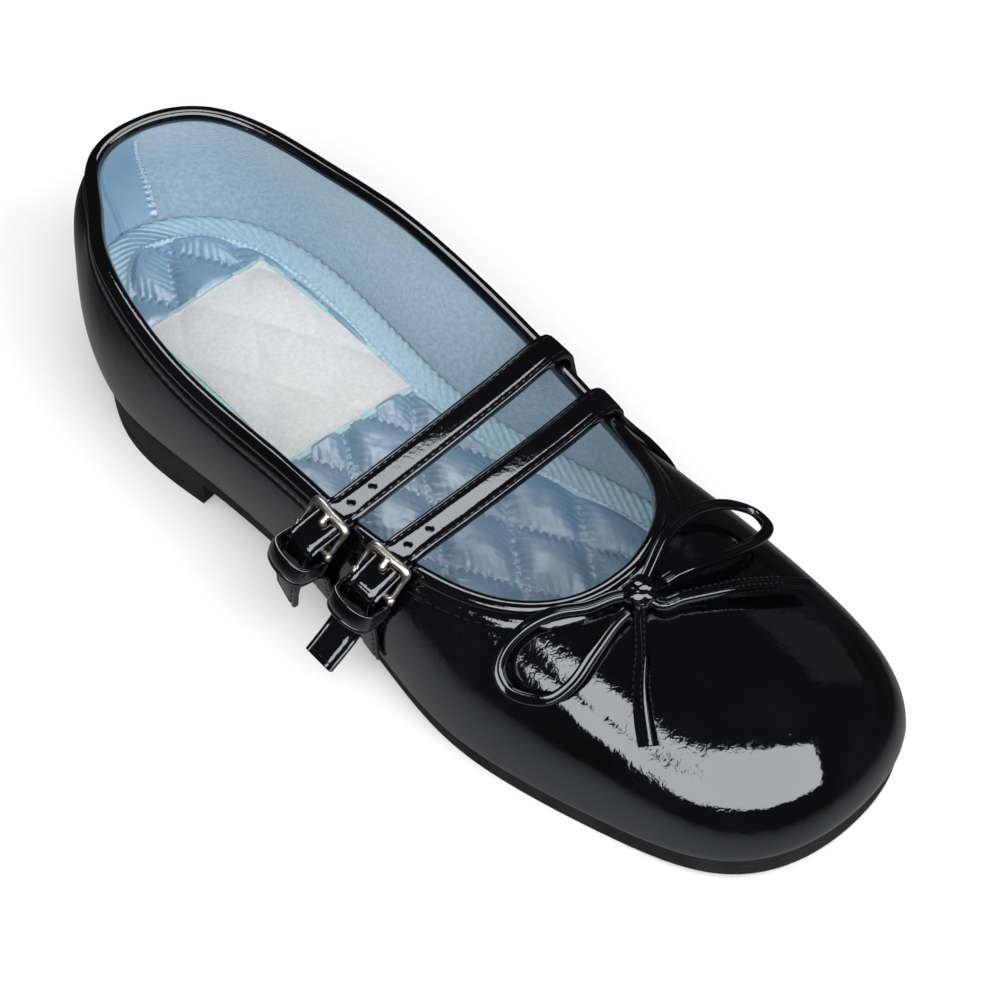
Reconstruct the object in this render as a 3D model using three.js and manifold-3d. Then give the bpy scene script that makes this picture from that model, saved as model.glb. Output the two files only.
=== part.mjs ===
// Mary jane shoe for the right foot: a round-toed patent upper with two buckled straps, a cord bow on
// the vamp, a quilted insole, a thin outsole and a low heel. Millimetres. The toe points to -Y, +Z is up,
// the lateral side (the buckles) is at -X, and the shoe stands on the plane z = 0.
import * as THREE from 'three';
import { mergeVertices } from 'three/addons/utils/BufferGeometryUtils.js';
import Module from 'manifold-3d';

const wasm = await Module();
wasm.setup();

// ---------------------------------------------------------------- driving sizes
const GAP = 0.3;                 // clearance between pieces that touch on the real shoe
const WALL = 2.0;                // upper: patent leather, padding and lining together
const ROLL = 1.9;                // radius of the topline binding
const ROLL_SINK = 0.9;           // how far the roll's centre sits below the topline's own line
const HEEL_LIFT = 15;            // feather line above the floor at the heel seat
const BALL_LIFT = 5;             // feather line above the floor at the ball
const TOE_SPRING = 5;            // further rise of the feather line at the toe tip
const BALL_Y = -40;              // where the sole starts to rise towards the heel
const SEAT_Y = 85;               // where the heel seat has its full height
const SPRING_Y = -70;            // where the toe spring starts
const TIP_Y = -122;              // where the toe spring is full
const SOLE_THICK = 4.4;          // outsole
const SOLE_INSET = 1.3;          // outsole edge inside the feather line, under the upper's overhang
const HEEL_INSET = 1.9;          // heel block edge inside the feather line
const HEEL_TAPER = 1.2;          // heel block narrows by this much towards the floor
const BREAST_U = 0.166;          // place around the feather line of the heel's front face
const INSOLE_EDGE = 4.4;         // height of the insole's edge above the feather line
const INSOLE_CROWN = 1.6;        // further rise of the padded insole along its middle
const STRAP_WIDE = 8.4;
const STRAP_THICK = 1.6;
const STRAP_SAG = 0.5;           // dip of a strap below the straight line between its two edges
const ANCHOR_WIDE = 7.6;         // lateral tab that holds the buckle
const ANCHOR_THICK = 1.1;
const BUCKLE_WIDE = 12.4;
const BUCKLE_LONG = 8.0;
const BAR = 0.8;                 // radius of the buckle frame's wire
const OUTER_BAR = 0.95;          // radius of the bar that crosses over the strap
const BUCKLE_STEEP = 60;         // degrees that the buckle frame slopes down from level
const BUCKLE_TILT = 16;          // degrees that a buckle leans, its toe side lower
const KEEPER_STEEP = 82;         // degrees that the keeper slopes down from level
const WRAP_ANGLE = 52;           // degrees above level at which a strap leaves the lateral roll
const HOLE = 0.9;                // radius of the strap's punched holes
const PRONG = 0.55;
const KEEPER_LONG = 7.0;
const KEEPER_WALL = 1.2;
const KEEPER_RISE = 3.6;         // height of the keeper's domed outer side over the strap
const CORD = 1.7;                // radius of the bow's cord
const KNOT = [3.7, 3.5, 2.9];    // half sizes of the bow's knot
const CENTRE = [6.97, -1.4];     // moves the middle of the shoe's box over the origin

const UPPER_AROUND = 66;
const UPPER_UP = 12;
const ROLL_SIDES = 8;
const CORD_SIDES = 8;

// ---------------------------------------------------------------- the last
// Rows run from the heel's back along the lateral side to the toe tip (row 10) and back on the medial side.
// feather: the edge where upper meets sole. top: the topline. lean: degrees outward of the wall at the
// feather. wall, crown: lengths of the rib's handles at the feather and at the topline. slope: degrees
// above level of the rib where it reaches the topline.
const LAST_COLUMNS = ['featherX', 'featherY', 'topX', 'topY', 'topZ', 'lean', 'wall', 'crown', 'slope'];
const LAST = [
  [-1.5, 120.5, -8.0, 118.0, 55.0, 26, 22, 12.5, 68],   // heel back
  [-20.5, 108.0, -21.5, 105.0, 53.0, 21, 19.5, 10.5, 72],
  [-35.0, 82.5, -32.5, 88.0, 53.0, 20, 17, 11, 77],
  [-35.5, 52.5, -38.5, 56.0, 47.0, 22, 15.5, 9.5, 77],  // lateral seat
  [-34.0, 21.5, -37.5, 21.5, 43.0, 20, 14, 10, 74],     // lateral waist
  [-37.0, -10.5, -38.0, -8.0, 42.5, 16, 14, 8, 68],
  [-41.0, -44.5, -32.5, -39.0, 42.5, 12, 16, 10, 50],   // lateral ball
  [-34.5, -81.5, -19.5, -56.5, 45.5, 10, 20, 18, 27],
  [-24.5, -110.5, -7.5, -59.5, 47.5, 11, 24, 30, 16],
  [-1.0, -122.0, -1.5, -59.0, 48.5, 11.5, 26, 33.5, 14], // toe tip and throat
  [32.5, -110.5, 8.5, -54.5, 48.5, 9, 22, 27.5, 24],
  [44.5, -77.5, 19.0, -43.5, 45.5, 7, 18, 15, 36],
  [42.5, -42.0, 27.0, -25.5, 41.5, 12, 17.5, 9.5, 52],  // medial ball
  [35.5, -8.5, 31.0, -1.5, 42.0, 13.5, 16, 8, 70],
  [26.5, 24.0, 32.5, 22.5, 45.5, 16, 16, 8, 78],        // medial waist
  [27.0, 55.0, 31.5, 54.0, 51.0, 16, 16, 10, 80],
  [28.0, 84.5, 28.0, 80.0, 53.0, 20, 18, 12, 77],       // medial seat
  [20.0, 109.0, 17.0, 109.5, 56.5, 24.5, 21, 12.5, 74],
];

// Straps: where each crosses the topline (place around the last on the lateral and the medial side),
// how far its tail runs past the keeper, how steeply the tail points down, and the distances of the
// adjusting holes from the prong's hole.
const STRAPS = [
  { name: 'rear', lateral: 0.266, medial: 0.7377, tail: 12.5, drop: 96, holes: [8.0, 15.0] },
  { name: 'front', lateral: 0.298, medial: 0.6927, tail: 13.6, drop: 54, holes: [8.0, 15.0] },
];

// The bow's cord, from the knot outwards, laid over the vamp by hand.
const KNOT_CENTRE = [-8.6, -67.6, 49.0];
const BOW = {
  bow_loop_medial: [
    [-1.8, -64.1, 50.4], [4.7, -60.8, 50.9], [13.4, -57.7, 49.3], [22.0, -56.1, 45.8], [29.8, -56.1, 41.1],
    [34.4, -58.8, 37.7], [33.2, -64.3, 38.3], [26.8, -68.5, 41.9], [18.5, -70.3, 45.5], [8.3, -70.1, 48.3],
    [1.0, -69.2, 49.4], [-3.0, -69.0, 49.4]],
  bow_loop_lateral: [
    [-13.4, -64.6, 48.6], [-19.1, -62.1, 47.4], [-24.4, -58.0, 46.3], [-30.3, -55.1, 43.7],
    [-35.5, -53.6, 38.8], [-38.1, -54.5, 34.8], [-38.7, -57.8, 31.8], [-37.2, -62.8, 31.6],
    [-34.5, -67.5, 33.3], [-30.0, -69.9, 37.4], [-24.3, -69.8, 42.2], [-17.5, -68.9, 45.9],
    [-13.5, -68.8, 47.3]],
  bow_tail_medial: [
    [-6.5, -72.4, 47.5], [-2.3, -74.0, 47.6], [4.0, -76.4, 47.0], [11.2, -78.2, 45.3], [20.0, -80.5, 41.8],
    [29.8, -82.3, 35.9]],
  bow_tail_lateral: [
    [-13.4, -73.0, 45.3], [-16.4, -76.7, 43.3], [-21.5, -81.5, 39.3], [-25.3, -86.4, 34.8],
    [-27.4, -90.0, 31.2]],
};

const vec = (x, y, z) => new THREE.Vector3(x, y, z);
const UP = vec(0, 0, 1);

// ---------------------------------------------------------------- surface of the upper
// Controls of the periodic cubic B-spline that passes through the values of one column.
function splineControls(values) {
  const count = values.length;
  let controls = values.slice();
  for (let pass = 0; pass < 60; pass += 1) {
    controls = controls.map((c, i) => {
      const before = controls[(i + count - 1) % count];
      const after = controls[(i + 1) % count];
      return c + values[i] - (before + 4 * c + after) / 6;
    });
  }
  return controls;
}

const LAST_CONTROLS = LAST_COLUMNS.map((_, column) => splineControls(LAST.map((row) => row[column])));

// The last's columns at a place u around the shoe: 0 heel back, 0.25 lateral, 0.5 toe tip, 0.75 medial.
function lastAt(u) {
  const count = LAST.length;
  const place = (((u % 1) + 1) % 1) * count;
  const i = Math.floor(place);
  const f = place - i;
  const weights = [(1 - f) ** 3, 3 * f ** 3 - 6 * f ** 2 + 4, -3 * f ** 3 + 3 * f ** 2 + 3 * f + 1, f ** 3];
  const values = {};
  LAST_COLUMNS.forEach((name, column) => {
    const controls = LAST_CONTROLS[column];
    values[name] = weights.reduce((sum, w, k) => sum + (w / 6) * controls[(i + k - 1 + count) % count], 0);
  });
  return values;
}

const smooth = (t) => {
  const s = Math.min(Math.max(t, 0), 1);
  return s * s * (3 - 2 * s);
};

// Height of the feather line above the floor.
function featherHeight(y) {
  const spring = Math.min(Math.max((SPRING_Y - y) / (SPRING_Y - TIP_Y), 0), 1);
  const seat = smooth((y - BALL_Y) / (SEAT_Y - BALL_Y));
  return BALL_LIFT + (HEEL_LIFT - BALL_LIFT) * seat + TOE_SPRING * spring ** 2;
}

const feather = (values) => vec(values.featherX, values.featherY, featherHeight(values.featherY));

// Level direction pointing out of the shoe, square to the feather line or to the topline.
function outward(u, xName, yName) {
  const step = 1e-4;
  const a = lastAt(u - step);
  const b = lastAt(u + step);
  return vec(b[yName] - a[yName], -(b[xName] - a[xName]), 0).normalize();
}
const featherOut = (u) => outward(u, 'featherX', 'featherY');
const topOut = (u) => outward(u, 'topX', 'topY');

// One rib of the upper: a cubic from the feather line to the topline, with its direction at the topline.
function rib(u) {
  const values = lastAt(u);
  const lean = THREE.MathUtils.degToRad(values.lean);
  const slope = THREE.MathUtils.degToRad(values.slope);
  const foot = feather(values);
  const wallDir = featherOut(u).multiplyScalar(Math.sin(lean)).addScaledVector(UP, Math.cos(lean));
  const topDir = topOut(u).multiplyScalar(-Math.cos(slope)).addScaledVector(UP, Math.sin(slope));
  const trim = ROLL_SINK + ROLL + GAP;
  const edge = vec(values.topX, values.topY, values.topZ).addScaledVector(topDir, -trim);
  const handles = [
    foot.clone().addScaledVector(wallDir, values.wall),
    edge.clone().addScaledVector(topDir, trim - values.crown - 1),
  ];
  return { curve: new THREE.CubicBezierCurve3(foot, handles[0], handles[1], edge), topDir };
}

const upperPoint = (u, v) => rib(u).curve.getPoint(v);

// Outward normal of the upper, level at the feather line so that the wall closes flat on the sole.
function upperNormal(u, v) {
  const step = 1e-3;
  const low = Math.max(v - step, 0);
  const high = Math.min(v + step, 1);
  const along = upperPoint(u + step, v).sub(upperPoint(u - step, v));
  const rise = upperPoint(u, high).sub(upperPoint(u, low));
  const normal = along.cross(rise).normalize();
  return featherOut(u).lerp(normal, smooth(v / 0.15)).normalize();
}

// A point at a distance off the upper's outer face; negative is into the wall.
const offUpper = (u, v, off) => upperPoint(u, v).addScaledVector(upperNormal(u, v), off);

// Centre of the topline's roll, on the middle of the wall's edge.
function rollCentre(u) {
  return offUpper(u, 1, -WALL / 2).addScaledVector(rib(u).topDir, ROLL + GAP);
}

// ---------------------------------------------------------------- solids from points
// A closed mesh from triangles of points: equal points are merged and empty triangles dropped.
function solid(triangles) {
  const raw = new THREE.BufferGeometry();
  raw.setAttribute('position', new THREE.Float32BufferAttribute(triangles.flatMap((p) => p.toArray()), 3));
  const merged = mergeVertices(raw, 1e-4);
  const index = Array.from(merged.index.array);
  const kept = [];
  for (let i = 0; i < index.length; i += 3) {
    const [a, b, c] = index.slice(i, i + 3);
    if (a !== b && b !== c && c !== a) kept.push(a, b, c);
  }
  merged.setIndex(kept);
  return merged;
}

function quad(out, a, b, c, d) {
  out.push(a, b, c, a, c, d);
}

// Skin between equal rings of points; each ring runs clockwise seen along the loft, and flat ends close it.
function loft(rings, closed = false) {
  const triangles = [];
  const sides = rings[0].length;
  const last = closed ? rings.length : rings.length - 1;
  for (let i = 0; i < last; i += 1) {
    const here = rings[i];
    const next = rings[(i + 1) % rings.length];
    for (let j = 0; j < sides; j += 1) {
      const k = (j + 1) % sides;
      quad(triangles, here[j], here[k], next[k], next[j]);
    }
  }
  if (!closed) {
    const end = rings[rings.length - 1];
    for (let j = 1; j < sides - 1; j += 1) {
      triangles.push(rings[0][0], rings[0][j + 1], rings[0][j], end[0], end[j], end[j + 1]);
    }
  }
  return facingOut(solid(triangles));
}

// Signed volume decides whether the faces point out; a mesh that is inside out is turned.
function facingOut(geometry) {
  const at = geometry.attributes.position;
  const corner = (i) => new THREE.Vector3().fromBufferAttribute(at, geometry.index.array[i]);
  let volume = 0;
  for (let i = 0; i < geometry.index.count; i += 3) {
    volume += corner(i).dot(corner(i + 1).cross(corner(i + 2)));
  }
  if (volume < 0) geometry.setIndex(Array.from(geometry.index.array).reverse());
  return geometry;
}

function toManifold(geometry) {
  const bare = new THREE.BufferGeometry();
  bare.setAttribute('position', geometry.attributes.position);
  if (geometry.index) bare.setIndex(geometry.index);
  const merged = mergeVertices(bare, 1e-4);
  return new wasm.Manifold(new wasm.Mesh({
    numProp: 3,
    vertProperties: new Float32Array(merged.attributes.position.array),
    triVerts: new Uint32Array(merged.index.array),
  }));
}

function fromManifold(body) {
  const mesh = body.getMesh();
  const geometry = new THREE.BufferGeometry();
  geometry.setAttribute('position', new THREE.Float32BufferAttribute(mesh.vertProperties, 3));
  geometry.setIndex(Array.from(mesh.triVerts));
  return geometry;
}

// ---------------------------------------------------------------- upper and binding
// The hollow upper: outer and inner faces a wall apart, with flat rims at the feather line and topline.
function upperGeometry() {
  const outer = [];
  const inner = [];
  for (let i = 0; i < UPPER_AROUND; i += 1) {
    const u = i / UPPER_AROUND;
    const steps = Array.from({ length: UPPER_UP + 1 }, (_, j) => j / UPPER_UP);
    outer.push(steps.map((v) => offUpper(u, v, 0)));
    inner.push(steps.map((v) => offUpper(u, v, -WALL)));
  }
  // each ring is one rib's closed section: up the outside and down the inside
  const rings = outer.map((rise, i) => [...rise, ...inner[i].slice().reverse()]);
  return loft(rings, true);
}

function bindingGeometry() {
  const rings = [];
  for (let i = 0; i < UPPER_AROUND; i += 1) {
    const u = i / UPPER_AROUND;
    const centre = rollCentre(u);
    const side = upperNormal(u, 1);
    const { topDir } = rib(u);
    rings.push(Array.from({ length: ROLL_SIDES }, (_, k) => {
      const angle = (2 * Math.PI * (k + 0.5)) / ROLL_SIDES;
      return centre.clone().addScaledVector(side, ROLL * Math.cos(angle))
        .addScaledVector(topDir, ROLL * Math.sin(angle));
    }));
  }
  return loft(rings, true);
}

// ---------------------------------------------------------------- outsole, heel and insole
const SOLE_STATIONS = UPPER_AROUND / 2;
const HEEL_STATIONS = 16;
const ACROSS = [0, 0.12, 0.5, 0.88, 1];

// Sections across the shoe between the lateral place u and the medial place 1 - u, from the heel's back to
// lastU. The edges give the outline of the lower and the upper face, and the heights their rise at a point.
function plate(edges, heights, lastU, stations) {
  const rings = [];
  for (let i = 0; i <= stations; i += 1) {
    const u = (lastU * i) / stations;
    const faces = [0, 1].map((side) => {
      const lateral = edges[side](u);
      const medial = edges[side](1 - u);
      return ACROSS.map((t) => {
        const point = lateral.clone().lerp(medial, t);
        point.z = heights[side](point, t);
        return point;
      });
    });
    rings.push([...faces[0], ...faces[1].reverse()]);
  }
  return loft(rings);
}

const insetFeather = (inset) => (u) => feather(lastAt(u)).addScaledVector(featherOut(u), -inset);
const soleTop = (p) => featherHeight(p.y) - GAP;
const soleBottom = (p) => Math.max(soleTop(p) - SOLE_THICK - 0.3, 0);

function outsoleGeometry() {
  const edge = insetFeather(SOLE_INSET);
  return plate([edge, edge], [soleBottom, soleTop], 0.5, SOLE_STATIONS);
}

function heelGeometry() {
  const edges = [insetFeather(HEEL_INSET + HEEL_TAPER), insetFeather(HEEL_INSET)];
  return plate(edges, [() => 0, (p) => soleBottom(p) - GAP], BREAST_U, HEEL_STATIONS);
}

// The place up a rib where the upper has risen by an amount above the feather line.
function placeAtRise(u, rise) {
  let low = 0;
  let high = 0.5;
  for (let pass = 0; pass < 20; pass += 1) {
    const middle = (low + high) / 2;
    if (upperPoint(u, middle).z - upperPoint(u, 0).z < rise) low = middle;
    else high = middle;
  }
  return low;
}

// The insole fills the shoe's floor inside the wall, following the wall's lean at its edge.
function insoleGeometry() {
  const clear = WALL + GAP + 0.1;
  const low = insetFeather(clear);
  const high = (u) => offUpper(u, placeAtRise(u, INSOLE_EDGE), -clear);
  const crown = (t) => Math.sin(Math.PI * t) ** 0.5 * INSOLE_CROWN;
  const top = (p, t) => featherHeight(p.y) + INSOLE_EDGE + crown(t);
  return plate([low, high], [(p) => featherHeight(p.y), top], 0.5, SOLE_STATIONS);
}

// ---------------------------------------------------------------- straps
const TILT_ROOM = 0.9;           // room for the leaning strap between the lateral roll and the buckle
const BAND_CORNER = 0.45;        // rounding of a strap's edges, as a part of its thickness

// A curve through points, each with the direction across the strap there.
function bandPath(stations) {
  const middle = new THREE.CatmullRomCurve3(stations.map(([point]) => point), false, 'centripetal');
  const across = new THREE.CatmullRomCurve3(stations.map(([, side]) => side), false, 'centripetal');
  const frameAt = (place) => {
    const t = middle.getUtoTmapping(place);
    const point = middle.getPoint(t);
    const tangent = middle.getTangent(t);
    const side = across.getPoint(t);
    side.addScaledVector(tangent, -side.dot(tangent)).normalize();
    return { point, tangent, side, normal: tangent.clone().cross(side) };
  };
  return { length: middle.getLength(), frameAt };
}

// A flat band along a path: the section is a rectangle with chamfered edges.
function band(path, wide, thick, steps) {
  const cut = thick * BAND_CORNER;
  const half = wide / 2;
  const corners = [[half - cut, thick / 2], [half, thick / 2 - cut], [half, cut - thick / 2],
    [half - cut, -thick / 2], [cut - half, -thick / 2], [-half, cut - thick / 2],
    [-half, thick / 2 - cut], [cut - half, thick / 2]];
  const rings = Array.from({ length: steps + 1 }, (_, i) => {
    const { point, side, normal } = path.frameAt(i / steps);
    return corners.map(([x, y]) => point.clone().addScaledVector(side, x).addScaledVector(normal, y));
  });
  return loft(rings);
}

// Level direction along the topline, and the direction along the upper's face: towards the toe on the
// lateral side and towards the heel on the medial side.
const alongTopline = (u) => UP.clone().cross(topOut(u));
const alongUpper = (u, v) => upperPoint(u + 1e-3, v).sub(upperPoint(u - 1e-3, v)).normalize();

// The lateral end of a strap lies in a plane through the roll, leaning by the buckle's tilt. Places in it
// are given as distances outward and up from the roll's centre, or along and square to the buckle frame.
function lateralPlane(strap) {
  const centre = rollCentre(strap.lateral);
  const out = topOut(strap.lateral);
  const toToe = alongTopline(strap.lateral);
  const tilt = THREE.MathUtils.degToRad(BUCKLE_TILT);
  const up = UP.clone().multiplyScalar(Math.cos(tilt)).addScaledVector(toToe, Math.sin(tilt));
  const across = toToe.multiplyScalar(Math.cos(tilt)).addScaledVector(UP, -Math.sin(tilt));
  const steep = THREE.MathUtils.degToRad(BUCKLE_STEEP);
  const wrap = THREE.MathUtils.degToRad(WRAP_ANGLE);
  const at = (o, z) => centre.clone().addScaledVector(out, o).addScaledVector(up, z);
  const barReach = ROLL + TILT_ROOM + STRAP_THICK + 3 * GAP + OUTER_BAR;
  const bar = [barReach * Math.cos(wrap), barReach * Math.sin(wrap)];
  const run = [Math.cos(steep), -Math.sin(steep)];
  const face = [Math.sin(steep), Math.cos(steep)];
  const inFrame = (s, n) => [bar[0] + s * run[0] + n * face[0], bar[1] + s * run[1] + n * face[1]];
  return { at, out, across, inFrame };
}

// height of the strap's middle over the buckle's inner bar, with the tab's fold between them
const STRAP_OVER_BAR = BAR + GAP + ANCHOR_THICK + 2 * GAP + STRAP_THICK / 2;

// The strap's end past the buckle, in the plane: over the inner bar, through the keeper, to the tail.
function strapEnd(strap, plane) {
  const over = plane.inFrame(BUCKLE_LONG, STRAP_OVER_BAR);
  const steep = THREE.MathUtils.degToRad(KEEPER_STEEP);
  const drop = THREE.MathUtils.degToRad(strap.drop);
  const step = ([o, z], angle, length) => [o + length * Math.cos(angle), z - length * Math.sin(angle)];
  const keeperStart = [over[0] + 0.9, over[1] - 2.0];
  const keeperEnd = step(keeperStart, steep, KEEPER_LONG);
  const tail = step(keeperEnd, drop, strap.tail);
  const tailMiddle = step(keeperEnd, (drop + steep) / 2, strap.tail * 0.4);
  return { over, keeperStart, keeperEnd, tailMiddle, tail };
}

// The strap's path, from the medial feather line up the outside, across and down to the tail.
function strapPath(strap) {
  const off = GAP + 0.15 + STRAP_THICK / 2;
  const stations = [0.06, 0.2, 0.4, 0.6, 0.8].map((v) => (
    [offUpper(strap.medial, v, off), alongUpper(strap.medial, v).negate()]));
  const wrapRadius = ROLL + 2 * GAP + STRAP_THICK / 2;
  const plane = lateralPlane(strap);
  const medialCentre = rollCentre(strap.medial);
  const medialOut = topOut(strap.medial);
  const medialSide = alongTopline(strap.medial).negate();
  const lateralSide = alongTopline(strap.lateral).lerp(plane.across, 0.4);
  const overMedial = (degrees) => {
    const angle = THREE.MathUtils.degToRad(degrees);
    return medialCentre.clone().addScaledVector(medialOut, wrapRadius * Math.cos(angle))
      .addScaledVector(UP, wrapRadius * Math.sin(angle));
  };
  const overLateral = (degrees, room) => {
    const angle = THREE.MathUtils.degToRad(degrees);
    return plane.at((wrapRadius + room) * Math.cos(angle), (wrapRadius + room) * Math.sin(angle));
  };
  [-8, 25, 60].forEach((degrees) => stations.push([overMedial(degrees), medialSide]));
  const start = overMedial(92);
  const end = overLateral(95, TILT_ROOM / 3);
  [0, 0.25, 0.5, 0.75, 1].forEach((t) => {
    const middle = start.clone().lerp(end, t).addScaledVector(UP, -STRAP_SAG * 4 * t * (1 - t));
    stations.push([middle, medialSide.clone().lerp(lateralSide, smooth(t)).normalize()]);
  });
  const { over, keeperStart, keeperEnd, tailMiddle, tail } = strapEnd(strap, plane);
  stations.push([overLateral(WRAP_ANGLE, TILT_ROOM), plane.across]);
  [over, keeperStart, keeperEnd, tailMiddle, tail].forEach((place) => {
    stations.push([plane.at(...place), plane.across]);
  });
  return { path: bandPath(stations), plane };
}

// A cylinder that punches a hole through the strap at a point, square to its face.
function punch(centre, direction, radius) {
  const cutter = new THREE.CylinderGeometry(radius, radius, 4 * STRAP_THICK, 12);
  cutter.applyQuaternion(new THREE.Quaternion().setFromUnitVectors(vec(0, 1, 0), direction));
  cutter.translate(...centre.toArray());
  return toManifold(cutter);
}

const PRONG_PLACE = 0.46;        // place of the prong's hole along the buckle frame

// Place along the strap where its middle comes nearest to a point.
function nearestPlace(path, target) {
  const places = Array.from({ length: 601 }, (_, i) => i / 600);
  const distance = (place) => path.frameAt(place).point.distanceTo(target);
  return places.reduce((best, place) => (distance(place) < distance(best) ? place : best), 0);
}

function prongPlace({ path, plane }) {
  return nearestPlace(path, plane.at(...plane.inFrame(BUCKLE_LONG * PRONG_PLACE, 0)));
}

function strapGeometry(strap) {
  const route = strapPath(strap);
  const { path } = route;
  let body = toManifold(band(path, STRAP_WIDE, STRAP_THICK, 46));
  const first = prongPlace(route);
  const holes = [[first, HOLE + 0.25]];
  strap.holes.forEach((distance) => holes.push([first - distance / path.length, HOLE]));
  holes.forEach(([place, radius]) => {
    const { point, normal } = path.frameAt(place);
    body = body.subtract(punch(point, normal, radius));
  });
  return fromManifold(body);
}

// The lateral tab: wrapped round the buckle's inner bar, through the keeper, then down the side.
function anchorGeometry(strap) {
  const plane = lateralPlane(strap);
  const { keeperStart, keeperEnd } = strapEnd(strap, plane);
  const bar = plane.inFrame(BUCKLE_LONG, 0);
  const wrapRadius = BAR + GAP + ANCHOR_THICK / 2;
  const steep = THREE.MathUtils.degToRad(BUCKLE_STEEP);
  const round = (degrees) => {
    const angle = THREE.MathUtils.degToRad(degrees) - steep;
    return plane.at(bar[0] + wrapRadius * Math.cos(angle), bar[1] + wrapRadius * Math.sin(angle));
  };
  const below = (STRAP_THICK + ANCHOR_THICK) / 2 + 3 * GAP;
  const past = [keeperEnd[0], keeperEnd[1] - 0.8];
  const lean = THREE.MathUtils.degToRad(KEEPER_STEEP);
  const under = ([o, z]) => [o - below * Math.sin(lean), z - below * Math.cos(lean)];
  const off = GAP + 0.15 + ANCHOR_THICK / 2;
  const points = [round(-100), round(-145), round(170), round(125), round(80)];
  points.push(plane.at(...under(keeperStart)), plane.at(...under(past)));
  const stations = points.map((point) => [point, plane.across]);
  const heelwards = 0.018;
  [[0.45, 1.2], [0.33, 0.3], [0.2, 0.05], [0.06, 0]].forEach(([v, lift]) => {
    const u = strap.lateral - heelwards * (1 - v);
    stations.push([offUpper(u, v, off + lift), alongUpper(u, v)]);
  });
  return band(bandPath(stations), ANCHOR_WIDE, ANCHOR_THICK, 28);
}

// ---------------------------------------------------------------- buckles, prongs and keepers
// A round bar bent along points; the frame closes on itself.
function wire(points, radius, closed, steps, sides) {
  const curve = new THREE.CatmullRomCurve3(points, closed, 'centripetal');
  const circle = new THREE.Shape(Array.from({ length: sides }, (_, k) => {
    const angle = (2 * Math.PI * k) / sides;
    return new THREE.Vector2(radius * Math.cos(angle), radius * Math.sin(angle));
  }));
  const extruded = new THREE.ExtrudeGeometry(circle, { steps, extrudePath: curve, bevelEnabled: false });
  extruded.deleteAttribute('normal');
  extruded.deleteAttribute('uv');
  return facingOut(solid(geometryPoints(extruded)));
}

function geometryPoints(geometry) {
  const flat = geometry.index ? geometry.toNonIndexed() : geometry;
  const at = flat.attributes.position;
  return Array.from({ length: at.count }, (_, i) => new THREE.Vector3().fromBufferAttribute(at, i));
}

// The buckle frame: a rounded rectangle of wire whose outer bar is thicker and bowed up a little.
function buckleGeometry(strap) {
  const plane = lateralPlane(strap);
  const { across } = plane;
  const half = BUCKLE_WIDE / 2 - OUTER_BAR;
  const corner = 1.3;
  const outline = [[-half + corner, 0], [0, 0], [half - corner, 0], [half - corner * 0.3, corner * 0.3],
    [half, corner], [half, BUCKLE_LONG / 2], [half, BUCKLE_LONG - corner],
    [half - corner * 0.3, BUCKLE_LONG - corner * 0.3], [half - corner, BUCKLE_LONG], [0, BUCKLE_LONG],
    [-half + corner, BUCKLE_LONG], [-half + corner * 0.3, BUCKLE_LONG - corner * 0.3],
    [-half, BUCKLE_LONG - corner], [-half, BUCKLE_LONG / 2], [-half, corner],
    [-half + corner * 0.3, corner * 0.3]];
  const place = ([w, s]) => {
    const [o, z] = plane.inFrame(s, 0);
    return plane.at(o, z).addScaledVector(across, w);
  };
  const curve = new THREE.CatmullRomCurve3(outline.map(place), true, 'centripetal');
  const steps = 28;
  const sides = 8;
  const barPlace = place([0, 0]);
  const face = plane.at(...plane.inFrame(0, 1)).sub(barPlace).normalize();
  const run = face.clone().cross(across);
  const rings = Array.from({ length: steps }, (_, i) => {
    const t = i / steps;
    const centre = curve.getPointAt(t);
    const side = curve.getTangentAt(t).cross(face).normalize();
    const fromBar = Math.abs(centre.clone().sub(barPlace).dot(run));
    const radius = fromBar < 0.5 ? OUTER_BAR : BAR;
    return Array.from({ length: sides }, (__, k) => {
      const angle = (2 * Math.PI * (k + 0.5)) / sides;
      return centre.clone().addScaledVector(side, radius * Math.cos(angle))
        .addScaledVector(face, radius * Math.sin(angle));
    });
  });
  return loft(rings, true);
}

// The prong: from under the strap up through its hole and over to the outer bar.
function prongGeometry(strap) {
  const route = strapPath(strap);
  const hole = route.path.frameAt(prongPlace(route));
  const outwards = hole.normal.dot(route.plane.out) > 0 ? hole.normal : hole.normal.clone().negate();
  const back = hole.tangent.clone().multiplyScalar(hole.tangent.z < 0 ? -1 : 1);
  const at = (along, rise) => hole.point.clone().addScaledVector(back, along)
    .addScaledVector(outwards, rise);
  const clear = STRAP_THICK / 2 + GAP + PRONG;
  const overBar = OUTER_BAR + GAP + PRONG;
  const tip = [[2.2, 0.55], [0.9, 0.35], [-0.4, 0.1]].map(([s, lift]) => (
    route.plane.at(...route.plane.inFrame(s, overBar + lift))));
  const root = [at(-1.6, -clear - 0.1), at(-0.8, -clear - 0.1), at(-0.1, -clear * 0.5), at(0, 0.2)];
  return wire([...root, at(0.1, clear * 0.9), ...tip], PRONG, false, 14, 6);
}

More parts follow.
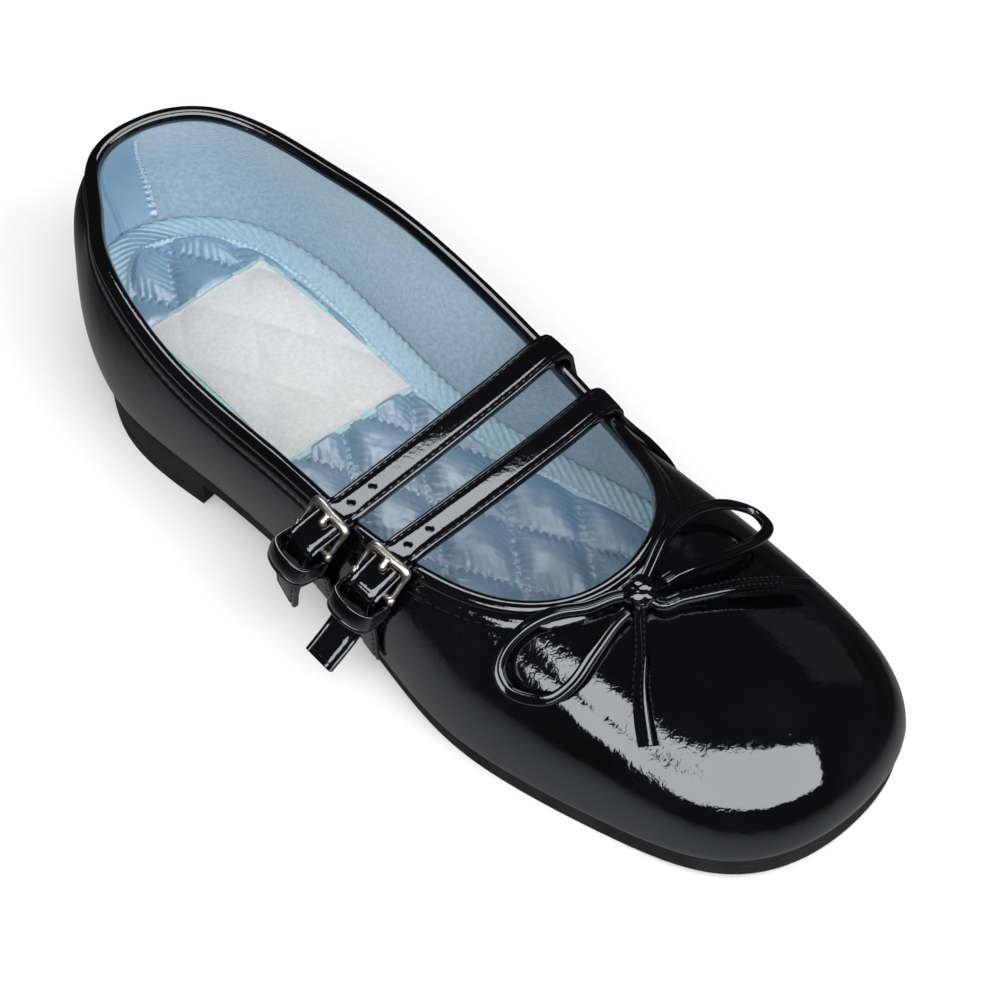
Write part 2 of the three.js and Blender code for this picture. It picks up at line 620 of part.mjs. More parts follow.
// The keeper: a loop with a flat back and a domed outer side, round the strap and the tab.
function keeperGeometry(strap) {
  const plane = lateralPlane(strap);
  const { keeperStart, keeperEnd } = strapEnd(strap, plane);
  const start = plane.at(...keeperStart);
  const along = plane.at(...keeperEnd).sub(start).normalize();
  const { across } = plane;
  const out = across.clone().cross(along).normalize();
  if (out.dot(plane.out) < 0) out.negate();
  const backDepth = STRAP_THICK / 2 + ANCHOR_THICK + 6.5 * GAP;
  const outline = (grow) => {
    const half = STRAP_WIDE / 2 + 0.5 + grow;
    const points = [[-half, -backDepth - grow], [half, -backDepth - grow]];
    for (let i = 0; i <= 8; i += 1) {
      const angle = (Math.PI * i) / 8;
      const rise = STRAP_THICK / 2 + GAP + (KEEPER_RISE - KEEPER_WALL) * Math.sin(angle) + grow;
      points.push([half * Math.cos(angle), i === 0 || i === 8 ? rise - 0.6 * grow : rise]);
    }
    return points;
  };
  const ringAt = (distance, grow) => outline(grow).map(([w, n]) => start.clone()
    .addScaledVector(along, distance).addScaledVector(across, w).addScaledVector(out, n));
  const from = 0.4;
  const to = KEEPER_LONG - 0.4;
  const section = [ringAt(from, 0), ringAt(from, KEEPER_WALL), ringAt(to, KEEPER_WALL), ringAt(to, 0)];
  const rings = section[0].map((_, k) => section.map((ring) => ring[k]));
  return loft(rings, true);
}

// ---------------------------------------------------------------- bow
function cordGeometry(route) {
  const points = route.map((p) => vec(...p));
  const curve = new THREE.CatmullRomCurve3(points, false, 'centripetal');
  const steps = Math.round(curve.getLength() / (CORD * 5));
  return wire(points, CORD, false, Math.max(steps, 6) * 2, CORD_SIDES);
}

function knotGeometry() {
  const ball = new THREE.SphereGeometry(1, 12, 8);
  ball.scale(...KNOT);
  ball.translate(...KNOT_CENTRE);
  return facingOut(solid(geometryPoints(ball)));
}

// ---------------------------------------------------------------- assembly
const FINISH = {
  patent: { color: 0x0a0b0d, roughness: 0.12, metalness: 0 },
  sole: { color: 0x141416, roughness: 0.55, metalness: 0 },
  satin: { color: 0x9fc0d6, roughness: 0.5, metalness: 0 },
  nickel: { color: 0xb9b4aa, roughness: 0.25, metalness: 1 },
};

const shoe = new THREE.Group();

function add(name, geometry, finish) {
  const mesh = new THREE.Mesh(geometry, new THREE.MeshStandardMaterial(FINISH[finish]));
  mesh.name = name;
  shoe.add(mesh);
}

add('outsole', outsoleGeometry(), 'sole');
add('heel', heelGeometry(), 'sole');
add('insole', insoleGeometry(), 'satin');
add('upper', upperGeometry(), 'patent');
add('binding', bindingGeometry(), 'patent');
STRAPS.forEach((strap) => {
  add(`strap_${strap.name}`, strapGeometry(strap), 'patent');
  add(`buckle_tab_${strap.name}`, anchorGeometry(strap), 'patent');
  add(`buckle_${strap.name}`, buckleGeometry(strap), 'nickel');
  add(`prong_${strap.name}`, prongGeometry(strap), 'nickel');
  add(`keeper_${strap.name}`, keeperGeometry(strap), 'patent');
});
add('bow_knot', knotGeometry(), 'patent');
Object.entries(BOW).forEach(([name, route]) => add(name, cordGeometry(route), 'patent'));

shoe.position.set(CENTRE[0], CENTRE[1], 0);

export default shoe;
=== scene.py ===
# %% [markdown]
# # A patent mary jane shoe
# The shoe is a lasted shell: patent leather pulled over a foot-shaped last, rolled at the topline and
# closed underneath by a thin sole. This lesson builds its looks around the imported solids, which stay as a
# hidden frame. Each piece is blanked out flat or as a tube, the way a maker cuts it, and then wrapped on
# the last. The first cell loads the frame.

import math

import bpy
import numpy as np
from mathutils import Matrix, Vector


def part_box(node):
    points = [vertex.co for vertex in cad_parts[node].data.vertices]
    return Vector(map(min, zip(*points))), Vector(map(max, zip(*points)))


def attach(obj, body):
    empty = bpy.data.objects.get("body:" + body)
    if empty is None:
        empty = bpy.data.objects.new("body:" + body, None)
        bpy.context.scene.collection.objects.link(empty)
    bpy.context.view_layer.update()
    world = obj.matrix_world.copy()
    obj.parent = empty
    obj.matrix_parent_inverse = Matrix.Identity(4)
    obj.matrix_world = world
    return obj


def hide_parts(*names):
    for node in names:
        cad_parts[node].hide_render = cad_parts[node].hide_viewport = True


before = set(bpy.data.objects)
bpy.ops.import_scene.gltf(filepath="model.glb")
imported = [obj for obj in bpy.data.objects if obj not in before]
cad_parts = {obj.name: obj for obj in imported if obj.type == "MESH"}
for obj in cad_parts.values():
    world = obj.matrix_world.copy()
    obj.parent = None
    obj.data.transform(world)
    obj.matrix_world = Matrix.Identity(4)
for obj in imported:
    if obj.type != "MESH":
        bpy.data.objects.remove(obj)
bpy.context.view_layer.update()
bpy.ops.object.select_all(action="DESELECT")
MM = 0.001

# %% [markdown]
# ## Camera
# A long lens from high in front of the toe's lateral side, as in a catalogue picture. The camera is made first.

# %% Camera
CAMERA_PLACE = Vector((-0.5974, -0.6857, 0.9524))
CAMERA_AIM = Vector((0.0192, 0.0029, 0.0116))


def heading(azimuth, elevation):
    """Direction from the shoe towards an azimuth (0 is the toe's side) and an elevation, in radians."""
    level = math.cos(elevation)
    return Vector((math.sin(azimuth) * level, -math.cos(azimuth) * level, math.sin(elevation)))


bpy.ops.object.camera_add(location=CAMERA_PLACE)
camera = bpy.context.object
camera.rotation_euler = (CAMERA_AIM - CAMERA_PLACE).to_track_quat("-Z", "Y").to_euler()
camera.data.lens = 210
camera.data.sensor_width = 36
camera.data.clip_end = 20
bpy.context.scene.camera = camera
print("camera at", [round(x, 3) for x in camera.location])

# %% [markdown]
# ## The last
# Every soft piece follows one surface. A table gives the last at stations round the shoe: the feather
# line, where the upper turns under, and the topline, with the lean of the wall and the slope at the top.
# A periodic spline joins the stations, and a cubic rib rises from feather to topline at each place. The
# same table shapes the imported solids, so the fine pieces fall exactly where they are. Sizes are in mm.

# %% The last's table
GAP, WALL, ROLL, ROLL_SINK = 0.3, 2.0, 1.9, 0.9
HEEL_LIFT, BALL_LIFT, TOE_SPRING = 15, 5, 5
BALL_Y, SEAT_Y, SPRING_Y, TIP_Y = -40, 85, -70, -122
CENTRE = np.array([6.97, -1.4, 0.0])
FX, FY, TX, TY, TZ, LEAN, WALL_PULL, CROWN, SLOPE = range(9)
LAST = np.array([
    # feather x, y    topline x, y, z     lean wall crown slope
    [-1.5, 120.5, -8.0, 118.0, 55.0, 26, 22, 12.5, 68],      # heel back
    [-20.5, 108.0, -21.5, 105.0, 53.0, 21, 19.5, 10.5, 72],
    [-35.0, 82.5, -32.5, 88.0, 53.0, 20, 17, 11, 77],
    [-35.5, 52.5, -38.5, 56.0, 47.0, 22, 15.5, 9.5, 77],
    [-34.0, 21.5, -37.5, 21.5, 43.0, 20, 14, 10, 74],        # lateral waist
    [-37.0, -10.5, -38.0, -8.0, 42.5, 16, 14, 8, 68],
    [-41.0, -44.5, -32.5, -39.0, 42.5, 12, 16, 10, 50],      # lateral ball
    [-34.5, -81.5, -19.5, -56.5, 45.5, 10, 20, 18, 27],
    [-24.5, -110.5, -7.5, -59.5, 47.5, 11, 24, 30, 16],
    [-1.0, -122.0, -1.5, -59.0, 48.5, 11.5, 26, 33.5, 14],   # toe tip and throat
    [32.5, -110.5, 8.5, -54.5, 48.5, 9, 22, 27.5, 24],
    [44.5, -77.5, 19.0, -43.5, 45.5, 7, 18, 15, 36],
    [42.5, -42.0, 27.0, -25.5, 41.5, 12, 17.5, 9.5, 52],     # medial ball
    [35.5, -8.5, 31.0, -1.5, 42.0, 13.5, 16, 8, 70],
    [26.5, 24.0, 32.5, 22.5, 45.5, 16, 16, 8, 78],           # medial waist
    [27.0, 55.0, 31.5, 54.0, 51.0, 16, 16, 10, 80],
    [28.0, 84.5, 28.0, 80.0, 53.0, 20, 18, 12, 77],
    [20.0, 109.0, 17.0, 109.5, 56.5, 24.5, 21, 12.5, 74],
])


def spline_controls(values):
    """Controls of the periodic cubic B-spline that passes through the rows of the table."""
    controls = values.copy()
    for _ in range(60):
        before, after = np.roll(controls, 1, 0), np.roll(controls, -1, 0)
        controls = controls + values - (before + 4 * controls + after) / 6
    return controls


CONTROLS = spline_controls(LAST)


def last_at(u):
    """The table's columns at a place round the shoe: 0 heel back, 0.25 lateral, 0.5 toe, 0.75 medial."""
    place = (np.asarray(u, float) % 1.0) * len(LAST)
    i = np.floor(place).astype(int)
    f = place - i
    weights = np.stack([(1 - f) ** 3, 3 * f**3 - 6 * f**2 + 4, -3 * f**3 + 3 * f**2 + 3 * f + 1, f**3], -1)
    rows = (i[..., None] + np.arange(-1, 3)) % len(LAST)
    return np.einsum("...k,...kc->...c", weights / 6, CONTROLS[rows])


def smooth(t):
    s = np.clip(t, 0, 1)
    return s * s * (3 - 2 * s)


def unit(a):
    return a / np.maximum(np.linalg.norm(a, axis=-1, keepdims=True), 1e-12)


def feather_height(y):
    """Height of the feather line above the floor: flat at the ball, rising to the heel and the toe."""
    spring = np.clip((SPRING_Y - y) / (SPRING_Y - TIP_Y), 0, 1)
    return BALL_LIFT + (HEEL_LIFT - BALL_LIFT) * smooth((y - BALL_Y) / (SEAT_Y - BALL_Y)) + TOE_SPRING * spring**2


# %% Ribs, points and normals on the last
UP = np.array([0.0, 0.0, 1.0])


def outward(u, x_column, y_column):
    step = last_at(u + 1e-4) - last_at(u - 1e-4)
    return unit(np.stack([step[..., y_column], -step[..., x_column], 0 * step[..., 0]], -1))


def feather_out(u):
    return outward(u, FX, FY)


def top_out(u):
    return outward(u, TX, TY)


def rib(u):
    """The four controls of the rib at u, and the direction in which it meets the topline."""
    row = last_at(u)
    lean, slope = np.radians(row[..., LEAN])[..., None], np.radians(row[..., SLOPE])[..., None]
    foot = np.stack([row[..., FX], row[..., FY], feather_height(row[..., FY])], -1)
    rise = feather_out(u) * np.sin(lean) + UP * np.cos(lean)
    top = -top_out(u) * np.cos(slope) + UP * np.sin(slope)
    trim = ROLL_SINK + ROLL + GAP
    edge = row[..., [TX, TY, TZ]] - top * trim
    crown = row[..., CROWN:CROWN + 1]
    return foot, foot + rise * row[..., WALL_PULL:WALL_PULL + 1], edge + top * (trim - crown - 1), edge, top


def upper_point(u, v):
    u, v = np.broadcast_arrays(np.asarray(u, float), np.asarray(v, float))
    a, b, c, d, _ = rib(u)
    v = v[..., None]
    return a * (1 - v) ** 3 + 3 * b * (1 - v) ** 2 * v + 3 * c * (1 - v) * v**2 + d * v**3


def upper_normal(u, v):
    """Outward normal of the upper, level at the feather line."""
    u, v = np.broadcast_arrays(np.asarray(u, float), np.asarray(v, float))
    step = 1e-3
    along = upper_point(u + step, v) - upper_point(u - step, v)
    rise = upper_point(u, np.minimum(v + step, 1)) - upper_point(u, np.maximum(v - step, 0))
    share = smooth(v / 0.15)[..., None]
    return unit(feather_out(u) * (1 - share) + unit(np.cross(along, rise)) * share)


def off_upper(u, v, off):
    return upper_point(u, v) + upper_normal(u, v) * np.asarray(off, float)[..., None]


def below_edge(u, distance):
    """The place v up the rib that lies a distance in mm below the upper's edge."""
    speed = 3 * (last_at(u)[..., CROWN] + 1 - (ROLL_SINK + ROLL + GAP))
    return 1 - distance / speed


def roll_centre(u):
    u = np.asarray(u, float)
    return off_upper(u, 1.0, -WALL / 2) + rib(u)[4] * (ROLL + GAP)


fitted = off_upper(np.linspace(0, 1, 361), np.linspace(0, 1, 25)[:, None], 0.0) + CENTRE
packed = [np.array(corner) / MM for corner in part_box("upper")]
print("last to packed upper, mm:", (fitted.min((0, 1)) - packed[0]).round(2), (fitted.max((0, 1)) - packed[1]).round(2))

# %% [markdown]
# ## Blanks
# Real parts start as blanks, and so do these: a tube with rows of faces, a ring, or a thin slab. Each is a
# Blender primitive, cut finer in edit mode. Wrapping then moves every point of a blank to its place on the
# shoe by a formula, which gives the compound curves that hand tools can't reach exactly.

# %% Helpers: selecting, editing and modifiers


def named(name):
    obj = bpy.context.object
    obj.name = obj.data.name = name
    return obj


def only(obj):
    bpy.ops.object.select_all(action="DESELECT")
    obj.select_set(True)
    bpy.context.view_layer.objects.active = obj


def points(obj):
    flat = np.zeros(len(obj.data.vertices) * 3)
    obj.data.vertices.foreach_get("co", flat)
    return flat.reshape(-1, 3)


def place_points(obj, millimetres):
    """Puts a blank's points at their places on the shoe, given in the last's own mm."""
    obj.data.vertices.foreach_set("co", ((millimetres + CENTRE) * MM).ravel())
    obj.data.update()


def select_edges(obj, chosen):
    """Opens edit mode with only the chosen edges selected."""
    only(obj)
    bpy.ops.object.mode_set(mode="EDIT")
    bpy.ops.mesh.select_mode(type="EDGE")
    bpy.ops.mesh.select_all(action="DESELECT")
    bpy.ops.object.mode_set(mode="OBJECT")
    obj.data.edges.foreach_set("select", np.asarray(chosen, bool))
    bpy.ops.object.mode_set(mode="EDIT")


def edge_ends(obj):
    ends = np.zeros(len(obj.data.edges) * 2, int)
    obj.data.edges.foreach_get("vertices", ends)
    at = points(obj)[ends.reshape(-1, 2)]
    return at[:, 0], at[:, 1]


def tidy_mesh(obj, merge=0.00001):
    """Merges doubled points, unless merge is None, and turns every face outwards."""
    only(obj)
    bpy.ops.object.mode_set(mode="EDIT")
    bpy.ops.mesh.select_all(action="SELECT")
    if merge is not None:
        bpy.ops.mesh.remove_doubles(threshold=merge)
    bpy.ops.mesh.normals_make_consistent(inside=False)
    bpy.ops.object.mode_set(mode="OBJECT")


def modify(obj, kind, **settings):
    """Adds a modifier with its settings and applies it."""
    only(obj)
    modifier = obj.modifiers.new(kind.title(), kind)
    for key, value in settings.items():
        setattr(modifier, key, value)
    bpy.ops.object.modifier_apply(modifier=modifier.name)


# %% Blanks: tube, ring and slab


MOST_CUTS = 100         # one subdivision takes no more, so longer blanks are cut twice


def tube_blank(name, around, rows, caps="NGON"):
    """An upright tube, and for each point its place round it and up it, both from 0 to 1."""
    bpy.ops.mesh.primitive_cylinder_add(vertices=around, radius=1, depth=1, end_fill_type=caps)
    obj = named(name)
    passes = 1 if rows <= MOST_CUTS else next(k for k in range(2, rows) if rows % k == 0 and rows // k <= MOST_CUTS)
    for pieces in (passes, rows // passes):
        if pieces > 1:
            start, end = edge_ends(obj)
            select_edges(obj, abs(start[:, 2] - end[:, 2]) > 1e-6)
            bpy.ops.mesh.subdivide(number_cuts=pieces - 1)
            bpy.ops.object.mode_set(mode="OBJECT")
    at = points(obj)
    return obj, np.arctan2(at[:, 1], at[:, 0]) / math.tau % 1.0, at[:, 2] + 0.5


def ring_blank(name, around, section):
    """A closed tube, and for each point its place round the ring and its angle round the section."""
    obj, turn, rise = tube_blank(name, section, around, caps="NOTHING")
    return obj, rise % 1.0, (turn + 0.5) % 1.0 * math.tau - math.pi


def slab_blank(name, along, across, thick=True):
    """A unit slab or sheet: for each point its place along, across and through it, from 0 to 1."""
    bpy.ops.mesh.primitive_grid_add(x_subdivisions=along, y_subdivisions=across, size=1, location=(0.5, 0.5, 0))
    obj = named(name)
    bpy.ops.object.transform_apply(location=True, rotation=False, scale=False)
    if thick:
        modify(obj, "SOLIDIFY", thickness=1, offset=1, use_even_offset=False)
    at = points(obj)
    return obj, at[:, 0], at[:, 1], at[:, 2]


# %% Helpers: finishing a piece
piece_count = []


def finish_piece(obj, material, replaces=(), sharp=40):
    """Smooths a piece, gives it its finish, and sets it riding on the shoe."""
    only(obj)
    bpy.ops.object.shade_smooth_by_angle(angle=math.radians(sharp))
    obj.data.materials.clear()
    obj.data.materials.append(material)
    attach(obj, "root")
    if replaces:
        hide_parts(*replaces)
    piece_count.append((obj.name, len(obj.data.polygons)))
    print(f"{obj.name}: {len(obj.data.polygons)} faces")
    return obj


def ripple(place, wavelength, seed):
    """A smooth, repeatable unevenness from -1 to 1 at points in mm: a sum of waves in set directions."""
    total = np.zeros(place.shape[:-1])
    for k in range(6):
        turn = 2.4 * k + seed
        direction = np.array([math.cos(turn), math.sin(turn), math.cos(1.7 * turn)])
        total += np.sin(place @ direction * math.tau / (wavelength * (0.75 + 0.11 * k)) + 1.3 * k * seed)
    return total / 6


# %% [markdown]
# ## Finishes
# Patent leather is a thick clear lacquer over black: a plain dielectric gloss with almost no colour. What
# makes it real is that the lacquer is never quite flat, so the edges of every reflection are crinkled.
# That crinkle and the weave of the textiles are shared effects, so each is a node group that puts out heights or masks,
# and each material places it with its own values; the metal's grain is a plain noise in its own material.

# %% Node groups


def node_group(name, inputs, outputs):
    group = bpy.data.node_groups.new(name, "ShaderNodeTree")
    for label, kind, value in inputs:
        socket = group.interface.new_socket(name=label, in_out="INPUT", socket_type=kind)
        socket.default_value = value
    for label, kind in outputs:
        group.interface.new_socket(name=label, in_out="OUTPUT", socket_type=kind)
    return group, group.nodes.new("NodeGroupInput"), group.nodes.new("NodeGroupOutput")


def add_node(tree, kind, settings=None, **inputs):
    """A node with its settings, and its inputs set to values or linked from sockets."""
    node = tree.nodes.new("ShaderNode" + kind)
    for key, value in (settings or {}).items():
        setattr(node, key, value)
    for key, value in inputs.items():
        socket = node.inputs[int(key[1:])] if key[0] == "_" else node.inputs[key.replace("_", " ")]
        if isinstance(value, bpy.types.NodeSocket):
            tree.links.new(value, socket)
        else:
            socket.default_value = value
    return node


def math_node(tree, operation, first, second=0.0):
    return add_node(tree, "Math", {"operation": operation}, _0=first, _1=second).outputs[0]


def crinkle_group():
    """Height of the lacquer's crinkle: short ripples that come and go in broad patches."""
    group, given, out = node_group(
        "lacquer_crinkle", [("Vector", "NodeSocketVector", (0, 0, 0)), ("Scale", "NodeSocketFloat", 500)],
        [("Height", "NodeSocketFloat"), ("Patches", "NodeSocketFloat")])
    vector, scale = given.outputs["Vector"], given.outputs["Scale"]
    fine = add_node(group, "TexNoise", Vector=vector, Scale=scale, Detail=2.5, Roughness=0.55, Distortion=0.6)
    broad = add_node(group, "TexNoise", Vector=vector, Scale=math_node(group, "MULTIPLY", scale, 0.28), Detail=1.5)
    patches = add_node(group, "TexNoise", Vector=vector, Scale=45.0, Detail=2.0)
    strength = add_node(group, "MapRange", Value=patches.outputs[0], From_Min=0.35, From_Max=0.65, To_Min=0.35)
    height = math_node(group, "MULTIPLY", fine.outputs[0], strength.outputs[0])
    swell = math_node(group, "MULTIPLY", broad.outputs[0], 1.1)
    group.links.new(math_node(group, "ADD", height, swell), out.inputs["Height"])
    group.links.new(patches.outputs[0], out.inputs["Patches"])
    return group


def weave_group():
    """A plain weave: crossing threads as height, and the uneven dye of the yarns as a mask."""
    group, given, out = node_group(
        "plain_weave", [("Vector", "NodeSocketVector", (0, 0, 0)), ("Threads", "NodeSocketFloat", 2500)],
        [("Height", "NodeSocketFloat"), ("Dye", "NodeSocketFloat")])
    axes = add_node(group, "SeparateXYZ", Vector=given.outputs["Vector"])
    threads = given.outputs["Threads"]

    def thread(axis):
        return math_node(group, "SINE", math_node(group, "MULTIPLY", axis, threads))

    height = math_node(group, "MULTIPLY", thread(axes.outputs["Y"]),
                       thread(math_node(group, "ADD", axes.outputs["X"], axes.outputs["Z"])))
    dye = add_node(group, "TexNoise", Vector=given.outputs["Vector"], Scale=900.0, Detail=3.0)
    group.links.new(height, out.inputs["Height"])
    group.links.new(dye.outputs[0], out.inputs["Dye"])
    return group


CRINKLE = crinkle_group()
WEAVE = weave_group()

# %% Material helpers


def new_material(name, color, roughness, **sockets):
    """A material whose shader has its plain values set, with its tree, shader and object coordinates."""
    material = bpy.data.materials.new(name)
    material.use_nodes = True
    tree = material.node_tree
    shader = tree.nodes["Principled BSDF"]
    shader.inputs["Base Color"].default_value = (*color, 1)
    shader.inputs["Roughness"].default_value = roughness
    for key, value in sockets.items():
        shader.inputs[key.replace("_", " ")].default_value = value
    coordinates = tree.nodes.new("ShaderNodeTexCoord").outputs["Object"]
    return material, tree, shader, coordinates


def placed_group(tree, group, **inputs):
    node = tree.nodes.new("ShaderNodeGroup")
    node.node_tree = group
    for key, value in inputs.items():
        if isinstance(value, bpy.types.NodeSocket):
            tree.links.new(value, node.inputs[key])
        else:
            node.inputs[key].default_value = value
    return node


def bump(tree, shader, height, distance, strength=1.0):
    node = add_node(tree, "Bump", Height=height, Distance=distance, Strength=strength)
    tree.links.new(node.outputs["Normal"], shader.inputs["Normal"])


def tint(tree, shader, mask, dark, light, low=0.35, high=0.65):
    """Colours the shader between two shades by a mask."""
    ramp = add_node(tree, "ValToRGB", Fac=mask)
    for element, at, color in zip(ramp.color_ramp.elements, (low, high), (dark, light)):
        element.position = at
        element.color = (*color, 1)
    tree.links.new(ramp.outputs["Color"], shader.inputs["Base Color"])


# %% Patent, thread, sole and metal


def patent(name, scale, depth):
    """Black patent: near-black under a clear gloss, with the crinkle at a scale per metre and a depth in m."""
    material, tree, shader, coordinates = new_material(name, (0.001, 0.001, 0.0015), 0.04, IOR=1.9,
                                                       Specular_Tint=(0.91, 0.95, 1.0, 1.0))
    lacquer = placed_group(tree, CRINKLE, Vector=coordinates, Scale=scale)
    bump(tree, shader, lacquer.outputs["Height"], depth)
    tint(tree, shader, lacquer.outputs["Patches"], (0.0008, 0.0008, 0.001), (0.002, 0.002, 0.0028))
    smear = add_node(tree, "MapRange", Value=lacquer.outputs["Patches"], To_Min=0.03, To_Max=0.06)
    tree.links.new(smear.outputs[0], shader.inputs["Roughness"])
    return material


def thread_finish(name, dark, light, roughness, shine=0.5):
    material, tree, shader, coordinates = new_material(name, dark, roughness, Specular_IOR_Level=shine)
    twist = add_node(tree, "TexNoise", Vector=coordinates, Scale=3000.0, Detail=2.0)
    tint(tree, shader, twist.outputs[0], dark, light)
    bump(tree, shader, twist.outputs[0], 0.00008)
    return material


def sole_rubber():
    material, tree, shader, coordinates = new_material("sole_rubber", (0.006, 0.006, 0.007), 0.6,
                                                       Specular_IOR_Level=0.2)
    grain = add_node(tree, "TexNoise", Vector=coordinates, Scale=1400.0, Detail=3.0)
    scuffs = add_node(tree, "TexNoise", Vector=coordinates, Scale=90.0, Detail=4.0)
    tint(tree, shader, scuffs.outputs[0], (0.005, 0.005, 0.0055), (0.010, 0.010, 0.011))
    smear = add_node(tree, "MapRange", Value=scuffs.outputs[0], To_Min=0.48, To_Max=0.68)
    tree.links.new(smear.outputs[0], shader.inputs["Roughness"])
    bump(tree, shader, grain.outputs[0], 0.00006)
    return material


def nickel_plate():
    material, tree, shader, coordinates = new_material("nickel_plate", (0.5, 0.475, 0.44), 0.35, Metallic=1.0)
    tarnish = add_node(tree, "TexNoise", Vector=coordinates, Scale=500.0, Detail=4.0)
    tint(tree, shader, tarnish.outputs[0], (0.34, 0.32, 0.295), (0.62, 0.585, 0.54), 0.3, 0.6)
    smear = add_node(tree, "MapRange", Value=tarnish.outputs[0], To_Min=0.42, To_Max=0.26)
    tree.links.new(smear.outputs[0], shader.inputs["Roughness"])
    bump(tree, shader, tarnish.outputs[0], 0.00004)
    return material


PATENT_UPPER = patent("patent_upper", 700.0, 0.000062)
PATENT_STRIP = patent("patent_strip", 900.0, 0.000025)
BLACK_THREAD = thread_finish("black_thread", (0.004, 0.004, 0.005), (0.010, 0.010, 0.012), 0.7, shine=0.1)
SOLE_RUBBER = sole_rubber()
NICKEL = nickel_plate()

# %% Satin, twill, lining and label cloth


def satin():
    """Pale blue satin: floating threads give it a soft sheen that is stronger one way."""
    material, tree, shader, coordinates = new_material(
        "quilted_satin", (0.14, 0.25, 0.36), 0.42, Anisotropic=0.3, Sheen_Weight=0.1, Sheen_Roughness=0.4,
        IOR=1.9, Specular_IOR_Level=0.9)
    stretch = add_node(tree, "Mapping", Vector=coordinates, Scale=(1.0, 0.12, 1.0))
    floats = add_node(tree, "TexNoise", Vector=stretch.outputs[0], Scale=3200.0, Detail=2.0)
    cloud = add_node(tree, "TexNoise", Vector=coordinates, Scale=60.0, Detail=2.0)
    mask = math_node(tree, "ADD", math_node(tree, "MULTIPLY", floats.outputs[0], 0.5),
                     math_node(tree, "MULTIPLY", cloud.outputs[0], 0.5))
    tint(tree, shader, mask, (0.12, 0.225, 0.335), (0.16, 0.28, 0.395), 0.4, 0.6)
    bump(tree, shader, floats.outputs[0], 0.00003)
    return material


def woven(name, dark, light, roughness, threads, depth, sheen=0.3):
    material, tree, shader, coordinates = new_material(name, dark, roughness, Sheen_Weight=sheen)
    cloth = placed_group(tree, WEAVE, Vector=coordinates, Threads=threads)
    tint(tree, shader, cloth.outputs["Dye"], dark, light)
    bump(tree, shader, cloth.outputs["Height"], depth)
    return material


SATIN = satin()
LINING = woven("lining_cloth", (0.19, 0.285, 0.36), (0.25, 0.35, 0.43), 0.8, 9000.0, 0.00003)
TWILL = woven("twill_tape", (0.28, 0.425, 0.51), (0.36, 0.51, 0.59), 0.6, 12000.0, 0.00002)
LABEL_CLOTH = woven("label_cloth", (0.53, 0.54, 0.535), (0.60, 0.60, 0.595), 0.7, 11000.0, 0.00002, 0.1)
BACKING = woven("label_backing_cloth", (0.30, 0.49, 0.50), (0.38, 0.58, 0.58), 0.6, 11000.0, 0.00002, 0.1)
BLUE_THREAD = thread_finish("blue_thread", (0.26, 0.37, 0.46), (0.38, 0.50, 0.58), 0.45)
print("finishes:", [material.name for material in bpy.data.materials])

# %% [markdown]
# ## Routes and sections
# A strap, a wire and a cord are one idea: a flat drawing of the section, carried along a curve. A route is
# that curve through a few stations, with the direction of the section's width at each. The blank tube's
# rows become stations along it, so a piece needs only its route and its section.

# %% Routes


def smooth_curve(stations, closed=False, fine=40):
    """Points on the centripetal Catmull-Rom curve through the stations."""
    stations = np.array(stations, float)
    first, last = 2 * stations[0] - stations[1], 2 * stations[-1] - stations[-2]
    ring = np.vstack([stations[-1:], stations, stations[:2]] if closed else [[first], stations, [last]])
    t = np.linspace(0, 1, fine, endpoint=False)[:, None]
    parts = []
    for a, b, c, d in zip(ring, ring[1:], ring[2:], ring[3:]):
        spans = [np.linalg.norm(q - p) ** 0.5 for p, q in ((a, b), (b, c), (c, d))]
        middle = spans[1] if spans[1] > 1e-4 else 1.0
        before, after = (x if x > 1e-4 else middle for x in (spans[0], spans[2]))
        leave = ((b - a) / before - (c - a) / (before + middle) + (c - b) / middle) * middle
        arrive = ((c - b) / middle - (d - b) / (middle + after) + (d - c) / after) * middle
        parts.append(b + leave * t + (3 * (c - b) - 2 * leave - arrive) * t**2
                     + (2 * (b - c) + leave + arrive) * t**3)
    return np.vstack(parts + [stations[:1] if closed else stations[-1:]])


class Route:
    """A curve with a width direction. Places on it are mm along it, across its width and off its face."""

    def __init__(self, stations, sides, closed=False):
        self.points = smooth_curve(stations, closed)
        self.sides = smooth_curve(sides, closed)
        steps = np.linalg.norm(np.diff(self.points, axis=0), axis=1)
        self.along = np.concatenate([[0], np.cumsum(np.maximum(steps, 1e-9))])
        self.length = self.along[-1]
        self.slopes = np.gradient(self.points, self.along, axis=0)

    def frame(self, s):
        point, slope, side = (np.stack([np.interp(s, self.along, values[:, k]) for k in range(3)], -1)
                              for values in (self.points, self.slopes, self.sides))
        tangent = unit(slope)
        side = unit(side - (side * tangent).sum(-1, keepdims=True) * tangent)
        return point, tangent, side, np.cross(tangent, side)

    def place(self, s, w, n):
        point, _, side, normal = self.frame(s)
        return point + side * np.asarray(w)[..., None] + normal * np.asarray(n)[..., None]


# %% Sweeping a section along a route


def row_places(length, rows, rounding, start=0.0):
    """Places of the rows along a piece, with a few close together at each rounded end."""
    ends = np.array([0, 0.12, 0.45]) * rounding
    middle = np.linspace(rounding, length - rounding, rows + 1 - 2 * len(ends))
    return start + np.concatenate([ends, middle, length - ends[::-1]])


